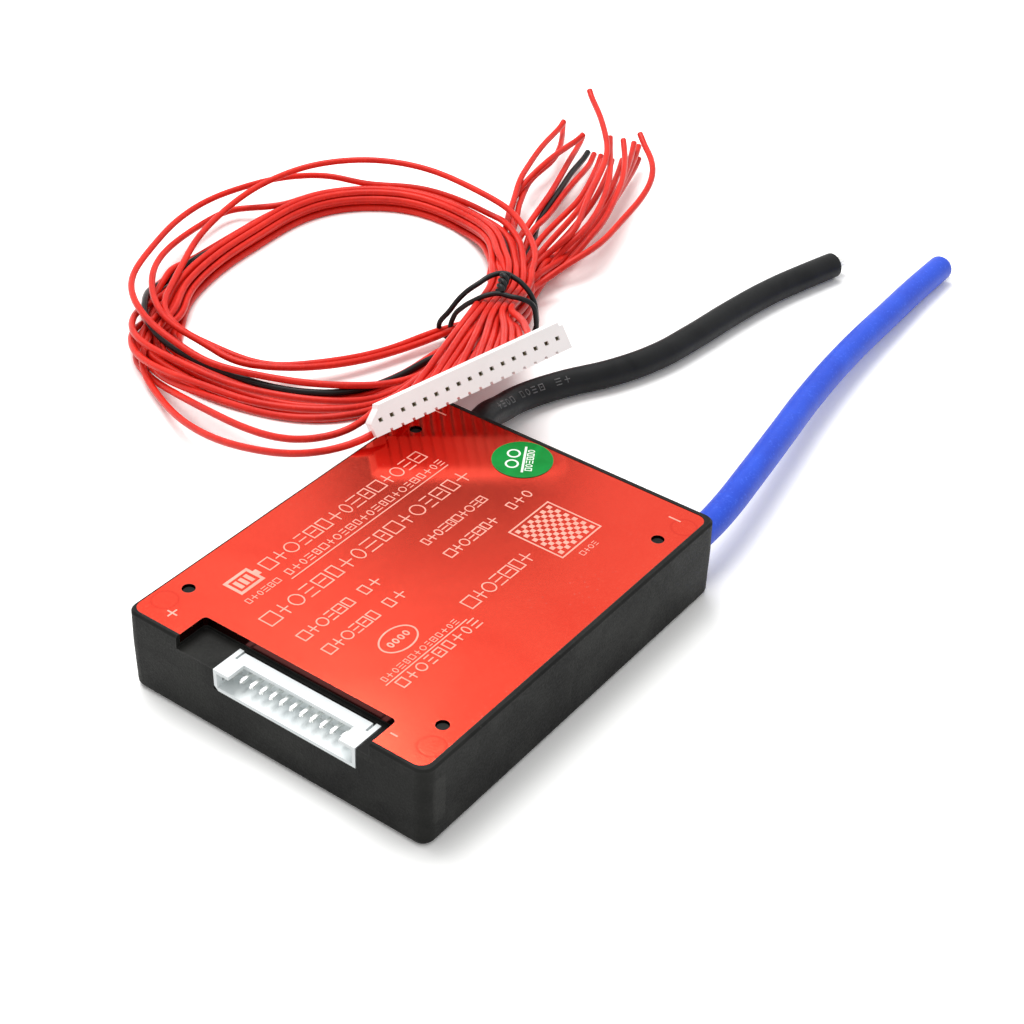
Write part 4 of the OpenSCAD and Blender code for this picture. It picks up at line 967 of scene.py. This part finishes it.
def seenRays(tree):   # 1 for what the camera, a reflection or glass sees
    rays = tree.nodes.new("ShaderNodeLightPath")
    shine = math2(tree, "MAXIMUM", rays.outputs["Is Glossy Ray"], rays.outputs["Is Transmission Ray"])
    return math2(tree, "MAXIMUM", rays.outputs["Is Camera Ray"], shine)


def addSheet(name, size, material):
    mesh = bmesh.new()
    bmesh.ops.create_grid(mesh, x_segments=1, y_segments=1, size=size / 2)
    data = bpy.data.meshes.new(name)
    mesh.to_mesh(data)
    mesh.free()
    data.materials.append(material)
    sheet = bpy.data.objects.new(name, data)
    bpy.context.scene.collection.objects.link(sheet)
    return sheet


def makeStage(s):
    world = bpy.data.worlds.new("studio")
    bpy.context.scene.world = world
    world.use_nodes = True
    tree = world.node_tree
    back = next(n for n in tree.nodes if n.type == "BACKGROUND")
    back.inputs["Color"].default_value = (1, 1, 1, 1)
    strength = mapped(tree, seenRays(tree), 0, 1, s["worldFill"], s["worldSeen"])
    tree.links.new(strength, back.inputs["Strength"])

    material, tree, shader = newFinish("paleFloor", specular=0.2)
    shader.inputs["Roughness"].default_value = s["floorRough"]
    colour = tinted(tree, s["floorColour"], s["floorSeen"], seenRays(tree))
    tree.links.new(colour, shader.inputs["Base Color"])
    addSheet("floor", s["floorSize"], material)

    lamp = bpy.data.lights.new("softbox", "AREA")
    lamp.shape, lamp.size, lamp.energy = "SQUARE", s["lampSize"], s["lampPower"]
    softbox = bpy.data.objects.new("softbox", lamp)
    softbox.location = s["lampAt"]
    aim = Vector(s["lampAim"]) - Vector(s["lampAt"])
    softbox.rotation_euler = aim.to_track_quat("-Z", "Y").to_euler()
    softbox.visible_camera = False
    bpy.context.scene.collection.objects.link(softbox)

    # a dark card behind the object that only its glossy faces see
    heading = math.radians(cameraSet["heading"] + s["cardTurn"])
    way = Vector((math.cos(heading), math.sin(heading), 0))
    material, tree, shader = newFinish("cardCloth")
    shader.inputs["Base Color"].default_value = (*[s["cardTone"]] * 3, 1)
    shade = addSheet("darkCard", 1, material)
    shade.location = way * s["cardAway"] + Vector((0, 0, s["cardHeight"]))
    shade.rotation_euler = (math.pi / 2, 0, heading + math.pi / 2)
    shade.scale = (*s["cardSize"], 1)
    shade.visible_camera = shade.visible_diffuse = shade.visible_shadow = False


makeStage(studio)
view = bpy.context.scene.view_settings
view.view_transform = "Standard"

print("scene ready")
